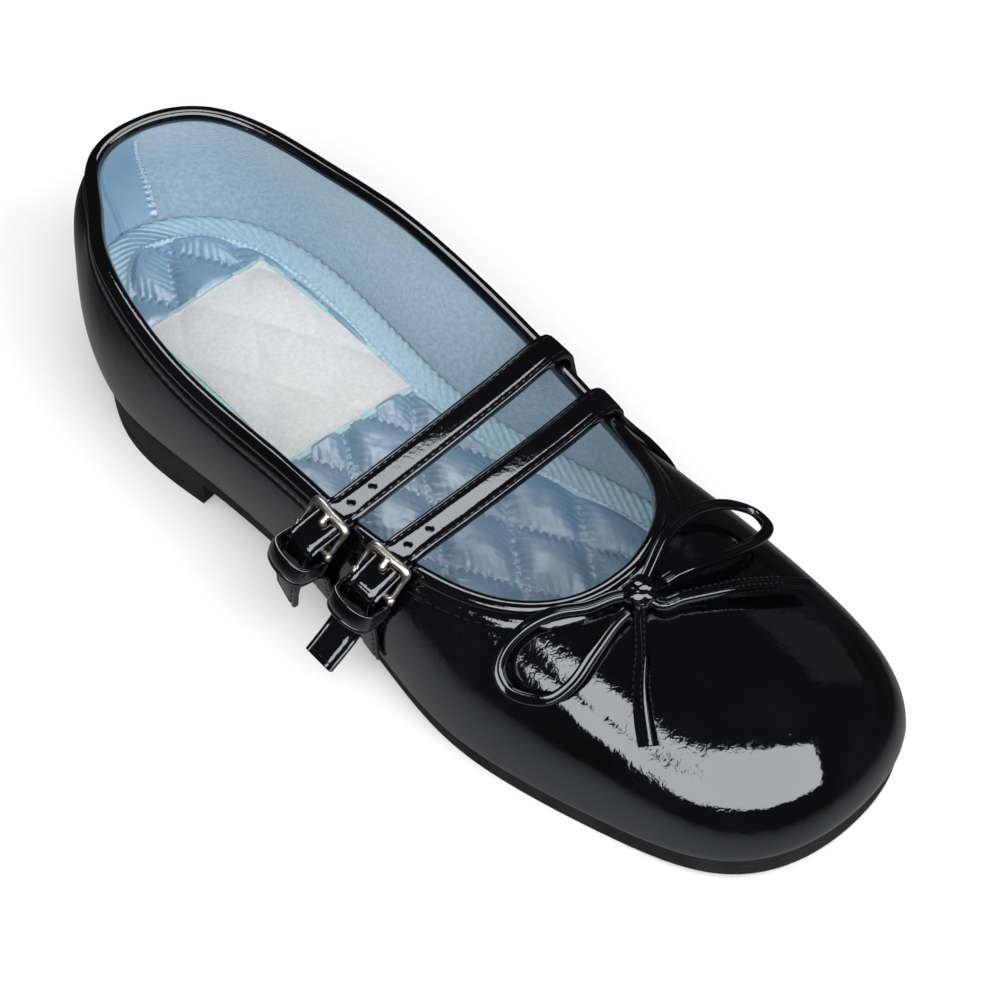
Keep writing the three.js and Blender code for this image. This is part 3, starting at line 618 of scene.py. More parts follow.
def sweep(name, route, section, rows, rounding=0.3, start=0.0, stop=None, widen=None):
    """A tube blank with the section's points, laid along a route and rounded at its two ends."""
    stop = route.length if stop is None else stop
    section = np.array(section, float)
    obj, turn, rise = tube_blank(name, len(section), rows)
    places = row_places(stop - start, rows, rounding, start)
    s = places[np.rint(rise * rows).astype(int)]
    w, n = section[np.rint(turn * len(section)).astype(int) % len(section)].T
    from_end = np.minimum(s - start, stop - s) / max(rounding, 1e-6)
    inset = rounding * (1 - np.sqrt(1 - np.clip(1 - from_end, 0, 1) ** 2))
    half = abs(section).max(0)
    w, n = w * (1 - inset / half[0]), n * (1 - inset / half[1])
    if widen:
        wider, thicker = widen((s - start) / (stop - start))
        w, n = w * wider, n * thicker
    place_points(obj, route.place(s, w, n))
    tidy_mesh(obj)
    return obj


def oval_section(wide, thick, sides, groove=0.0, power=2.4):
    """A rounded section with a shallow groove along the middle of its two broad faces."""
    angle = np.arange(sides) * math.tau / sides
    w = np.sign(np.cos(angle)) * abs(np.cos(angle)) ** (2 / power) * wide / 2
    n = np.sign(np.sin(angle)) * abs(np.sin(angle)) ** (2 / power) * thick / 2
    return np.stack([w, n - np.sign(n) * groove * np.exp(-((w / (0.16 * wide)) ** 2))], -1)


# %% Stitches


def stitch_rows(name, material, rows, long=1.7, thick=0.21):
    """One short thread stitch, copied to every (places, directions, normals) in rows as a single mesh."""
    bpy.ops.mesh.primitive_uv_sphere_add(segments=6, ring_count=5, radius=1)
    stitch = bpy.context.object
    shape = points(stitch) * np.array([thick, thick * 0.8, long / 2])
    faces = [list(face.vertices) for face in stitch.data.polygons]
    bpy.data.objects.remove(stitch)
    at, along, normal = (np.concatenate([np.asarray(row[k], float).reshape(-1, 3) for row in rows]) for k in range(3))
    along = unit(along)
    normal = unit(normal - (normal * along).sum(-1, keepdims=True) * along)
    across = np.cross(normal, along)
    verts = (at[:, None] + across[:, None] * shape[:, 0:1] + normal[:, None] * shape[:, 1:2]
             + along[:, None] * shape[:, 2:3])
    mesh = bpy.data.meshes.new(name)
    shift = np.arange(len(at)) * len(shape)
    mesh.from_pydata(((verts.reshape(-1, 3) + CENTRE) * MM).tolist(), [],
                     [[v + k for v in face] for k in shift.tolist() for face in faces])
    obj = bpy.data.objects.new(name, mesh)
    bpy.context.scene.collection.objects.link(obj)
    return finish_piece(obj, material, sharp=80)


def route_stitches(route, w, n, start, stop, pitch=2.5):
    s = np.arange(start, stop, pitch)
    _, tangent, _, normal = route.frame(s)
    return route.place(s, 0 * s + w, 0 * s + n), tangent, normal


# %% [markdown]
# ## The bow's cord
# The bow is one narrow folded strip of patent, tied by hand: two loops and two tails that leave the knot.
# It is soft, so each stretch has its own route over the vamp. The strip is nearly round where it is pulled tight and
# opens flat towards its cut ends.

# %% Bow routes
KNOT_CENTRE = [-8.6, -67.6, 49.0]
BOW = {
    "bow_loop_medial": [
        [-1.8, -64.1, 50.4], [4.7, -60.8, 50.9], [13.4, -57.7, 49.3], [22.0, -56.1, 45.8], [29.8, -56.1, 41.1],
        [34.4, -58.8, 37.7], [33.2, -64.3, 38.3], [26.8, -68.5, 41.9], [18.5, -70.3, 45.5], [8.3, -70.1, 48.3],
        [1.0, -69.2, 49.4], [-3.0, -69.0, 49.4]],
    "bow_loop_lateral": [
        [-13.4, -64.6, 48.6], [-19.1, -62.1, 47.4], [-24.4, -58.0, 46.3], [-30.3, -55.1, 43.7],
        [-35.5, -53.6, 38.8], [-38.1, -54.5, 34.8], [-38.7, -57.8, 31.8], [-37.2, -62.8, 31.6],
        [-34.5, -67.5, 33.3], [-30.0, -69.9, 37.4], [-24.3, -69.8, 42.2], [-17.5, -68.9, 45.9],
        [-13.5, -68.8, 47.3]],
    "bow_tail_medial": [
        [-6.5, -72.4, 47.5], [-2.3, -74.0, 47.6], [4.0, -76.4, 47.0], [11.2, -78.2, 45.3], [20.0, -80.5, 41.8],
        [29.8, -82.3, 35.9]],
    "bow_tail_lateral": [
        [-13.4, -73.0, 45.3], [-16.4, -76.7, 43.3], [-21.5, -81.5, 39.3], [-25.3, -86.4, 34.8],
        [-27.4, -90.0, 31.2]],
}
CORD_WIDE, CORD_THICK = 2.8, 2.1
ROLLED = {"bow_tail_lateral": -22, "bow_tail_medial": 0}     # degrees that a tail has rolled over at its end


def over_vamp(point):
    """Direction straight off the vamp at a point of the bow, from an oval that fits under it."""
    return unit((np.array(point) - [-2.0, -72.0, 8.0]) * [1.0, 0.7, 1.3])


def bow_route(name):
    stations = [KNOT_CENTRE, *BOW[name]]
    curve = smooth_curve(stations, fine=2)[::2]
    roll = np.radians(ROLLED.get(name, 0)) * smooth(np.linspace(0, 1, len(curve)) / 0.6)
    sides = []
    for p, q, angle in zip(curve, np.gradient(curve, axis=0), roll):
        side = unit(np.cross(over_vamp(p), unit(q)))
        sides.append(side * math.cos(angle) - over_vamp(p) * math.sin(angle))
    return Route(stations, sides)


def tail_widen(t):
    opening = smooth((t - 0.3) / 0.6)
    return 1 + 0.38 * opening, 1 - 0.45 * opening


# %% Bow cords
for name in BOW:
    route = bow_route(name)
    tail = "tail" in name
    section = oval_section(CORD_WIDE, CORD_THICK, 28, groove=0.42, power=3.0)
    obj = sweep(f"{name}_cord", route, section, 2 * round(route.length / 1.4), rounding=0.25,
                widen=tail_widen if tail else None)
    finish_piece(obj, PATENT_STRIP, [name], sharp=50)
    path = (smooth_curve([KNOT_CENTRE, *BOW[name]], fine=5) + CENTRE) * MM
    print(f"  {name}: {route.length:.1f} mm long")

# %% Stitches on the tails, and the knot
rows = []
for name in ("bow_tail_medial", "bow_tail_lateral"):
    route = bow_route(name)
    for side in (-1, 1):
        for face in (-1, 1):
            rows.append(route_stitches(route, side * 0.36 * CORD_WIDE, face * 0.98, 5, route.length * 0.78, 1.5))
stitch_rows("bow_stitches", BLACK_THREAD, rows, long=0.95, thick=0.24)

bpy.ops.mesh.primitive_uv_sphere_add(segments=64, ring_count=40, radius=1)
knot = named("bow_wrap")
ball = points(knot)
wrap = np.array([0.62, 0.66, 0.42])
strand = abs(np.sin(math.pi * (ball @ wrap) * 1.35 + 0.3)) ** 0.7
crossing = np.exp(-((ball @ np.array([0.75, -0.62, 0.2]) - 0.15) / 0.32) ** 2)
swell = 0.80 + 0.20 * strand * (1 - 0.6 * crossing) + 0.14 * crossing + 0.07 * ripple(ball * 4, 2.6, 5)
place_points(knot, ball * swell[:, None] * [4.3, 4.2, 3.2] + KNOT_CENTRE)
finish_piece(knot, PATENT_STRIP, ["bow_knot"], sharp=70)

# %% [markdown]
# ## The upper
# The upper is pulled over the last and turned under at the feather line, where the sole hides its edge.
# The blank is an open tube. Its first rows are the turned-under edge and a soft corner, the others climb
# the ribs, and the last ones run up into the binding. The vamp laps over the quarters at a side seam on
# each side, and a closing seam runs down the heel. Solidify then gives the sheet its real thickness.

# %% Upper: rows of the blank
TURN_UNDER = 3.2
CORNER = 1.3
UPPER_AROUND = 540
LEATHER = 0.9


def arc_rows(count):
    """Places up the rib for the rows above the corner, closer together where the stitch line runs."""
    return np.linspace(0.035, 1, count) ** 0.92


UPPER_ROWS = arc_rows(58)


def upper_row(u, row):
    """A point of the upper's outer face in one row of the blank: turned under, corner, wall, and edge."""
    foot, out = rib(u)[0], feather_out(u)
    under = [foot - out * TURN_UNDER, foot - out * (TURN_UNDER + CORNER) / 2]
    if row < 2:
        return under[row]
    climb = UPPER_ROWS[0]
    if row < 8:
        t = (row - 2) / 6
        start, end = foot - out * CORNER, upper_point(u, climb)
        return start * (1 - t) ** 2 + foot * 2 * t * (1 - t) + end * t**2
    if row < 8 + len(UPPER_ROWS):
        return None
    rise = (row - 7 - len(UPPER_ROWS)) * 0.5
    return upper_point(u, 1.0) + rib(u)[4] * rise


# %% Upper: seams and creases in its height
SEAM_STEP = 0.42
LATERAL_SEAM = ((0.0, 0.273), (0.19, 0.284), (0.53, 0.295), (1.0, 0.303))
MEDIAL_SEAM = ((0.0, 0.742), (0.3, 0.722), (0.6, 0.708), (1.0, 0.700))
AROUND_MM = 560.0       # about one trip round the feather line


def seam_place(seam, v):
    heights, places = zip(*seam)
    return np.interp(v, heights, places)


def seam_relief(u, v):
    """Height of the leather over the last: the vamp laps over both quarters, and the heel seam is a groove."""
    height = np.zeros(np.broadcast(u, v).shape)
    for seam, toe_side in ((LATERAL_SEAM, 1), (MEDIAL_SEAM, -1)):
        past = (u - seam_place(seam, v)) * toe_side * AROUND_MM
        quarter = smooth(-past / 0.5 + 0.5) * smooth((past + 26) / 20)
        height -= SEAM_STEP * quarter
        height -= 0.14 * np.exp(-(((past - 1.7) / 0.45) ** 2))
    heel = (np.asarray(u) + 0.5) % 1.0 - 0.5
    height -= 0.35 * np.exp(-((heel * AROUND_MM / 0.45) ** 2))
    height += 0.12 * np.exp(-((abs(heel * AROUND_MM) - 1.3) / 0.9) ** 2)
    return height


def crease(u, v, at, along, wide, deep):
    """A soft trough from one place on the upper to another, as wide and deep as given in mm."""
    start, end = (upper_point(*place) for place in (at, along))
    line = end - start
    where = upper_point(u, v)
    t = np.clip((where - start) @ line / (line @ line), 0, 1)
    distance = np.linalg.norm(where - start - t[..., None] * line, axis=-1)
    fade = smooth(t / 0.25) * smooth((1 - t) / 0.25)
    return -deep * np.exp(-((distance / wide) ** 2)) * fade


CREASES = [
    ((0.452, 0.93), (0.415, 0.72), 3.4, 0.04), ((0.548, 0.93), (0.590, 0.72), 3.4, 0.04),
    ((0.330, 0.80), (0.345, 0.45), 4.0, 0.07), ((0.665, 0.80), (0.650, 0.45), 4.0, 0.07),
    ((0.060, 0.42), (0.120, 0.35), 3.0, 0.06), ((0.940, 0.42), (0.880, 0.35), 3.0, 0.06),
]


def upper_relief(u, v):
    height = seam_relief(u, v)
    below = (1 - v) * 3 * abs(last_at(u)[..., CROWN] + 1 - (ROLL_SINK + ROLL + GAP))
    height = height - 0.2 * np.exp(-(((below - 2.3) / 0.5) ** 2)) + 0.25 * np.exp(-((below / 2.0) ** 2))
    for line in CREASES:
        height = height + crease(u, v, *line)
    where = upper_point(u, v)
    pull = np.exp(-((v / 0.22) ** 2)) * (np.exp(-(((u - 0.5) / 0.12) ** 2)) + 0.6 * np.exp(-(((u - 0.0) / 0.08) ** 2)))
    height = height + 0.02 * ripple(where, 9.0, 2) + 0.015 * pull * np.sin(u * AROUND_MM * math.tau / 7.5)
    return height


# %% Upper: blank to shell
upper_rows = 8 + len(UPPER_ROWS) + 2
upper, around, rise = tube_blank("upper_shell", UPPER_AROUND, upper_rows - 1, caps="NOTHING")
row_of = np.rint(rise * (upper_rows - 1)).astype(int)
placed = np.zeros((len(around), 3))
for row in range(upper_rows):
    these = row_of == row
    u = around[these]
    where = upper_row(u, row)
    if where is None:
        v = np.full(len(u), UPPER_ROWS[row - 8])
        where = off_upper(u, v, upper_relief(u, v))
    placed[these] = where
place_points(upper, placed)
tidy_mesh(upper, merge=None)
modify(upper, "SOLIDIFY", thickness=LEATHER * MM, offset=-1, use_even_offset=False)
finish_piece(upper, PATENT_UPPER, ["upper"], sharp=55)

# %% Upper: stitch rows


def upper_stitches(u, v, off, pitch):
    """Stitches along a line on the upper, evenly pitched in mm."""
    line = off_upper(u, v, off)
    travel = np.concatenate([[0], np.cumsum(np.linalg.norm(np.diff(line, axis=0), axis=1))])
    s = np.arange(pitch / 2, travel[-1], pitch)
    u, v = np.interp(s, travel, u), np.interp(s, travel, v)
    at = off_upper(u, v, np.interp(s, travel, np.broadcast_to(off, travel.shape)))
    return at, np.gradient(at, axis=0), upper_normal(u, v)


def seam_stitches(seam, toe_side, beyond):
    v = np.linspace(0.04, 0.97, 160)
    return upper_stitches(seam_place(seam, v) + toe_side * beyond / AROUND_MM, v, 0.0, 2.3)


u = np.linspace(0, 1, 1200)
rows = [upper_stitches(u, below_edge(u, 2.3), -0.1, 2.6)]
for seam, toe_side in ((LATERAL_SEAM, 1), (MEDIAL_SEAM, -1)):
    rows.append(seam_stitches(seam, toe_side, 1.7))
v = np.linspace(0.05, 0.95, 120)
rows += [upper_stitches(0 * v + side * 1.4 / AROUND_MM, v, 0.12, 2.3) for side in (-1, 1)]
stitch_rows("upper_stitches", BLACK_THREAD, rows)

# %% [markdown]
# ## The binding
# The topline is finished with a padded roll: a strip of patent turned over a cord. Its inner lower side
# has the crease of the turned strip. It is made from a ring, whose section stays square to the topline.

# %% Binding
binding, around, angle = ring_blank("topline_binding", 620, 24)
centre, side, top = roll_centre(around), upper_normal(around, 1.0), rib(around)[4]
creases = 0.30 * np.exp(-(((angle - math.radians(142)) / 0.17) ** 2)) + 0.22 * np.exp(
    -((np.minimum(abs(angle + math.radians(158)), abs(angle - math.radians(202))) / 0.16) ** 2))
radius = ROLL - creases + 0.05 * ripple(centre, 11.0, 1) + 0.02 * ripple(centre, 3.5, 3)
place_points(binding, centre + side * (radius * np.cos(angle))[:, None] + top * (radius * np.sin(angle))[:, None])
tidy_mesh(binding)
finish_piece(binding, PATENT_STRIP, ["binding"], sharp=60)

# %% [markdown]
# ## The lining
# Inside is a thin textile lining, glued to the leather's back. A satin panel with zigzag edges covers the
# heel's closing seam, and a raised seam runs down its middle. Both are tubes and sheets on the same ribs.

# %% Insole's edge on the wall
INSOLE_EDGE, INSOLE_CROWN = 4.4, 1.6
INSOLE_CLEAR = WALL + GAP + 0.1
EDGE_U = np.linspace(0, 1, 721)


def place_at_rise(u, rise):
    """The place up each rib where the upper has risen by an amount above the feather line."""
    v = np.linspace(0, 0.5, 200)
    heights = upper_point(np.asarray(u)[:, None], v)[..., 2]
    return np.array([np.interp(rise, h - h[0], v) for h in heights])


EDGE_V = place_at_rise(EDGE_U, INSOLE_EDGE)
EDGE_POINTS = off_upper(EDGE_U, EDGE_V, -INSOLE_CLEAR)


def insole_edge(u):
    return np.stack([np.interp(np.asarray(u) % 1.0, EDGE_U, EDGE_POINTS[:, k]) for k in range(3)], -1)


# %% Lining
LINING_DEEP = 1.15
LINING_THICK = 0.75
lining, around, rise = tube_blank("lining", 420, 40, caps="NOTHING")
v = 0.04 + rise * 0.96
lift = np.where(rise > 0.99, 0.8, 0.0)
where = off_upper(around, v, -LINING_DEEP + 0.05 * ripple(upper_point(around, v), 14.0, 4))
place_points(lining, where + rib(around)[4] * lift[:, None])
tidy_mesh(lining, merge=None)
modify(lining, "SOLIDIFY", thickness=LINING_THICK * MM, offset=-1, use_even_offset=False)
finish_piece(lining, LINING, sharp=60)

# %% Heel panel and its seams
PANEL_DEEP = WALL + 0.12
PANEL_HALF = 0.0225
panel, along, up_panel, _ = slab_blank("heel_panel", 90, 110, thick=False)
u = (along - 0.5) * 2 * PANEL_HALF
v = 0.1 + 0.9 * up_panel
pucker = 0.3 * np.exp(-(((abs(along - 0.5) * 2 - 0.95) / 0.09) ** 2)) * np.sin(v * 150)
ridge = 0.8 * np.exp(-((u * AROUND_MM / 0.8) ** 2))
where = off_upper(u, v, -PANEL_DEEP - ridge + pucker)
place_points(panel, where + rib(u)[4] * np.where(up_panel > 0.99, 0.8, 0.0)[:, None])
modify(panel, "SOLIDIFY", thickness=0.3 * MM, offset=0, use_even_offset=False)
finish_piece(panel, SATIN, sharp=70)

zig_v = np.arange(0.16, 0.97, 0.022)
rows = []
for side in (-1, 1):
    swing = np.where(np.arange(len(zig_v)) % 2, 0.6, -0.6) / AROUND_MM
    u = side * (PANEL_HALF - 0.001) + swing
    at = off_upper(u, zig_v, -PANEL_DEEP - 0.4)
    middle, step = (at[1:] + at[:-1]) / 2, at[1:] - at[:-1]
    rows.append((middle, step, -upper_normal((u[1:] + u[:-1]) / 2, (zig_v[1:] + zig_v[:-1]) / 2)))
stitch_rows("heel_panel_stitches", BLUE_THREAD, rows, long=1.5, thick=0.2)

# %% [markdown]
# ## The insole
# The insole is a foam sheet under satin, quilted in diamonds. Foam lifts each diamond, and the stitch lines
# gather the cloth into small puckers. It starts as a sheet over the last's floor with the diamonds drawn
# in its height. The cloth simulation then fills it: the stitch lines are pinned, the air pressure of the
# foam pushes up between them, and a cap keeps every point near its place.

# %% Insole: outline and quilting
QUILT_NODE = np.array([7.9, -6.0])
QUILT_A, QUILT_B = np.array([9.2, -16.45]), np.array([-10.5, -16.45])
QUILT_AREA = abs(QUILT_A[0] * QUILT_B[1] - QUILT_A[1] * QUILT_B[0])
PUFF, DOME = 1.7, 1.2
GATHER, SWING = 2.1, 0.55       # mm between gathers, and how far they pull a stitch line to and fro


def quilt_place(x, y):
    """Places in the lattice of stitch lines, and distances in mm to the nearest line of each family."""
    p, q = np.linalg.solve(np.stack([QUILT_A, QUILT_B], 1), np.stack([x, y]).reshape(2, -1) - QUILT_NODE[:, None])
    p, q = p.reshape(x.shape), q.reshape(x.shape)
    gap_p = abs(p - np.rint(p)) * QUILT_AREA / np.linalg.norm(QUILT_B)
    gap_q = abs(q - np.rint(q)) * QUILT_AREA / np.linalg.norm(QUILT_A)
    return p, q, gap_p, gap_q


def puff_height(x, y, swing=0.0):
    """Height of the diamonds: steep beside the stitch lines, then a broad dome. The lines may swing to and fro."""
    p, q, gap_p, gap_q = quilt_place(x, y)
    if swing:
        long_p, long_q = np.linalg.norm(QUILT_B), np.linalg.norm(QUILT_A)
        waver = 2.2 * ripple(np.stack([x, y, 0 * x], -1), 7.0, 1)
        side_p, side_q = np.sign(p - np.rint(p)), np.sign(q - np.rint(q))
        gap_p = abs(gap_p * side_p + swing * np.sin(q * long_p * math.tau / GATHER + waver))
        gap_q = abs(gap_q * side_q + swing * np.sin(p * long_q * math.tau / GATHER + waver))
    dome = DOME * abs(np.sin(math.pi * p) * np.sin(math.pi * q))
    return PUFF * (1 - np.exp(-gap_p / 1.7)) * (1 - np.exp(-gap_q / 1.7)) + dome - 0.7


def pucker_height(x, y):
    """Gathers across the stitch lines, uneven in spacing and depth."""
    p, q, gap_p, gap_q = quilt_place(x, y)
    where = np.stack([x, y, 0 * x], -1)
    waver = 2.2 * ripple(where, 7.0, 1)
    strong = 0.65 + 0.6 * ripple(where, 5.0, 6)
    total = puff_height(x, y, SWING) - puff_height(x, y)
    for gap, along, length in ((gap_p, q, np.linalg.norm(QUILT_B)), (gap_q, p, np.linalg.norm(QUILT_A))):
        gather = np.sin(along * length * math.tau / GATHER + waver)
        total += 0.34 * strong * gather * np.exp(-((gap / 1.9) ** 2)) * (1 - np.exp(-((gap / 0.4) ** 2)))
        total += 0.08 * strong * np.sin(along * length * math.tau / 3.7 + 2 * waver) * np.exp(-((gap / 3.2) ** 2))
    return total


# %% Insole: blank laid over the floor
ROW_SHARE = ((0, 0.0), (0.86, 0.36), (1.0, 0.5))
PAD_ROWS, PAD_COLUMNS = 250, 76
pad, along, across_pad, _ = slab_blank("insole_pad", PAD_ROWS, PAD_COLUMNS, thick=False)


def floor_place(along, across_share):
    """A point of the insole's smooth top: along 0 is the heel's back, 1 the toe; across 0 is lateral."""
    u = np.interp(along, *zip(*ROW_SHARE))
    lateral, medial = insole_edge(u), insole_edge(1 - u)
    point = lateral + (medial - lateral) * across_share[..., None]
    rise = np.sin(math.pi * np.clip(across_share, 0, 1)) ** 0.5 * INSOLE_CROWN
    point[..., 2] = feather_height(point[..., 1]) + INSOLE_EDGE + rise
    return point


def clear_of_tape(where):
    """0 under the tape at the insole's edge, 1 inside it."""
    gap = [np.hypot(*(EDGE_POINTS[::3, :2] - point).T).min() for point in where[:, :2]]
    return smooth((np.array(gap) - 6.8) / 2.2)


flat = floor_place(along, across_pad)
flat[:, 2] += puff_height(flat[:, 0], flat[:, 1]) * clear_of_tape(flat)
place_points(pad, flat)
tidy_mesh(pad)

# %% Insole: heights at any place, for what lies on it
def edge_x(y, u_low, u_high):
    """Where the insole's edge crosses a row y, on the side between two places round it."""
    u = np.linspace(u_low, u_high, 400)
    edge = insole_edge(u)
    order = np.argsort(edge[:, 1])
    return np.interp(y, edge[order, 1], edge[order, 0])


def floor_height(x, y):
    lateral, medial = edge_x(y, 0.02, 0.49), edge_x(y, 0.98, 0.51)
    share = np.clip((x - lateral) / (medial - lateral), 0, 1)
    return feather_height(y) + INSOLE_EDGE + np.sin(math.pi * share) ** 0.5 * INSOLE_CROWN


LABEL_CORNERS = np.array([[-21.1, 37.9], [16.8, 37.7], [-19.4, 89.7], [16.2, 90.5]])


def under_label(x, y):
    """1 where the label presses the foam down, easing to 0 at its edges."""
    low, high = LABEL_CORNERS.min(0), LABEL_CORNERS.max(0)
    inside = np.minimum(np.minimum(x - low[0], high[0] - x), np.minimum(y - low[1], high[1] - y))
    return smooth((inside + 1.0) / 2.0)


# %% Insole: filling by cloth simulation
PUFF_CAP = 0.6


def fill_pad(obj):
    """Blows the cloth up between its pinned stitch lines, and caps how far each point may move."""
    before = points(obj)
    local = before / MM - CENTRE
    _, _, gap_p, gap_q = quilt_place(local[:, 0], local[:, 1])
    border = np.zeros(len(before), bool)
    used = {}
    for polygon in obj.data.polygons:
        for key in polygon.edge_keys:
            used[key] = used.get(key, 0) + 1
    border[[v for key, count in used.items() if count == 1 for v in key]] = True
    pinned = (np.minimum(gap_p, gap_q) < 0.75) | border | (clear_of_tape(local) < 0.3)
    group = obj.vertex_groups.new(name="stitched")
    group.add(np.flatnonzero(pinned).tolist(), 1.0, "REPLACE")
    cloth = obj.modifiers.new("Cloth", "CLOTH").settings
    cloth.vertex_group_mass = "stitched"
    cloth.quality = 4
    cloth.mass = 0.15
    cloth.tension_stiffness = cloth.compression_stiffness = 8
    cloth.shear_stiffness = 4
    cloth.bending_stiffness = 0.4
    cloth.shrink_min = -0.004
    cloth.use_pressure = True
    cloth.uniform_pressure_force = 3.0
    cloth.effector_weights.gravity = 0
    scene = bpy.context.scene
    for step in range(1, 21):
        scene.frame_set(step)
    only(obj)
    bpy.ops.object.modifier_apply(modifier="Cloth")
    scene.frame_set(1)
    moved = points(obj) - before
    reach = np.linalg.norm(moved, axis=1, keepdims=True)
    capped = before + moved * np.minimum(1, PUFF_CAP * MM / np.maximum(reach, 1e-12))
    obj.data.vertices.foreach_set("co", capped.ravel())
    obj.data.update()
    obj.vertex_groups.clear()
    print(f"filled: moved {reach.mean() / MM:.2f} mm on average, {reach.max() / MM:.2f} at most before the cap")


fill_pad(pad)

# %% Insole: puckers, thickness and quilting thread
modify(pad, "SUBSURF", levels=1, render_levels=1)
local = points(pad) / MM - CENTRE
x, y = local[:, 0], local[:, 1]
pressed, base = under_label(x, y), floor_height(x, y)
local[:, 2] += pucker_height(x, y) * clear_of_tape(local) * (1 - pressed)
local[:, 2] += (np.minimum(local[:, 2], base + 0.15) - local[:, 2]) * pressed
place_points(pad, local)
modify(pad, "SOLIDIFY", thickness=2.2 * MM, offset=-1, use_even_offset=False)
finish_piece(pad, SATIN, ["insole"], sharp=75)


# %% Insole: quilting thread
def quilt_lines():
    """Points every 2.4 mm along every stitch line that lies on the insole, with their directions."""
    rows = []
    for k in range(-9, 10):
        for start, run in ((QUILT_NODE + k * QUILT_A, QUILT_B), (QUILT_NODE + k * QUILT_B, QUILT_A)):
            length = np.linalg.norm(run)
            t = np.arange(-12, 12, 2.4 / length)
            xy = start + t[:, None] * run
            x, y = xy.T
            keep = (y < 108) & (y > -75)
            x, y = x[keep], y[keep]
            keep = (x > edge_x(y, 0.02, 0.49) + 4) & (x < edge_x(y, 0.98, 0.51) - 4)
            x, y = x[keep], y[keep]
            if len(x) > 1:
                at = np.stack([x, y, floor_height(x, y) - 0.6], -1)
                rows.append((at, np.broadcast_to([*run, 0.0], at.shape), np.broadcast_to(UP, at.shape)))
    return rows


stitch_rows("quilting_thread", BLUE_THREAD, quilt_lines(), long=1.7, thick=0.17)

# %% [markdown]
# ## The insole's tape
# A woven tape binds the insole's edge: slanted twill ribs, and a fine cord along its inner edge with the
# ribs slanting the other way. The ribs are real ridges, made in the height of a closed ribbon.

# %% Tape
TAPE_WIDE = 8.4
TAPE_RIB, CORD_TWIST = 2.8, 1.7
TAPE_ROWS = 1900
stations_u = np.linspace(0, 1, 73)[:-1]
edge = insole_edge(stations_u)
inward = -feather_out(stations_u)
middle = edge + inward * (TAPE_WIDE / 2 - 0.2)
middle[:, 2] = feather_height(middle[:, 1]) + INSOLE_EDGE + 1.15
tape_route = Route(middle, -inward, closed=True)
TAPE_TOP = 22
tape_w = np.concatenate([np.linspace(-TAPE_WIDE / 2, TAPE_WIDE / 2, TAPE_TOP), [TAPE_WIDE / 2, -TAPE_WIDE / 2]])
tape_is_top = np.concatenate([np.ones(TAPE_TOP), [0, 0]])
tape, turn, rise = tube_blank("insole_tape", len(tape_w), TAPE_ROWS, caps="NOTHING")
column = np.rint(turn * len(tape_w)).astype(int) % len(tape_w)
w, is_top, s = tape_w[column], tape_is_top[column], rise % 1.0 * tape_route.length
_, _, tape_side, tape_normal = tape_route.frame(np.zeros(1))
inner = 1 if (tape_side @ np.array([0, 1.0, 0]))[0] < 0 else -1
reach = w * inner
ribs = 0.27 * np.sin((s + 1.35 * reach) * math.tau / TAPE_RIB) * smooth((2.7 - reach) / 0.5)
cord = 0.55 * np.exp(-(((reach - 3.5) / 0.6) ** 2)) * (1 + 0.45 * np.sin((s - reach) * math.tau / CORD_TWIST))
trough = -0.22 * np.exp(-(((reach - 2.65) / 0.3) ** 2))
fall = -0.5 * smooth((-reach - 2.8) / 1.4)
n = np.where(is_top > 0, 0.35 + ribs + cord + trough + fall, -0.6)
n = n * np.sign(tape_normal[0, 2])
unevenness = 0.10 * ripple(tape_route.frame(s)[0], 16.0, 3)
place_points(tape, tape_route.place(s, w, n) + UP * unevenness[:, None])
tidy_mesh(tape)
finish_piece(tape, TWILL, sharp=75)

# %% [markdown]
# ## The label
# A woven label is sewn on the heel of the insole over a slightly larger backing. It is left blank.

# %% Label and its backing
def label_place(a, b, grow):
    """A place on the label, with its outline grown by some mm."""
    low = LABEL_CORNERS[0] + (LABEL_CORNERS[1] - LABEL_CORNERS[0]) * a[:, None]
    high = LABEL_CORNERS[2] + (LABEL_CORNERS[3] - LABEL_CORNERS[2]) * a[:, None]
    xy = low + (high - low) * b[:, None]
    xy += np.stack([np.sign(a - 0.5) * (abs(a - 0.5) * 2) ** 3, np.sign(b - 0.5) * (abs(b - 0.5) * 2) ** 3], -1) * grow
    return xy


def label_height(a, b, x, y):
    """Height of the floor under the label, with slow waves, a trace of the diamonds and a raised middle."""
    ease = smooth(np.minimum(np.minimum(a, 1 - a), np.minimum(b, 1 - b)) * 9)
    wave = 0.16 * ripple(np.stack([x, y, 0 * x], -1), 15.0, 2) + 0.175 * (puff_height(x, y) - 0.4)
    return floor_height(x, y) + wave + 0.3 * ease


def lay_label(name, along, grow, lift, thick, material):
    sheet, a, b, through = slab_blank(name, along, along * 3 // 2)
    x, y = label_place(a, b, grow).T
    place_points(sheet, np.stack([x, y, label_height(a, b, x, y) + lift + thick * through], -1))
    tidy_mesh(sheet)
    return finish_piece(sheet, material, sharp=60)


LABEL_LIFT, LABEL_THICK = 0.62, 0.42
lay_label("label_backing", 60, 1.3, 0.32, 0.35, BACKING)
lay_label("woven_label", 70, 0.0, LABEL_LIFT, LABEL_THICK, LABEL_CLOTH)


def label_stitches():
    rows = []
    t = np.linspace(0.02, 0.98, 26)
    for a, b in ((t, 0 * t + 0.012), (t, 0 * t + 0.988), (0 * t + 0.018, t), (0 * t + 0.982, t)):
        x, y = label_place(a, b, 0).T
        at = np.stack([x, y, label_height(a, b, x, y) + LABEL_LIFT + LABEL_THICK + 0.02], -1)
        rows.append((at, np.gradient(at, axis=0), np.broadcast_to(UP, at.shape)))
    return rows


stitch_rows("label_stitches", LABEL_CLOTH, label_stitches(), long=1.3, thick=0.13)

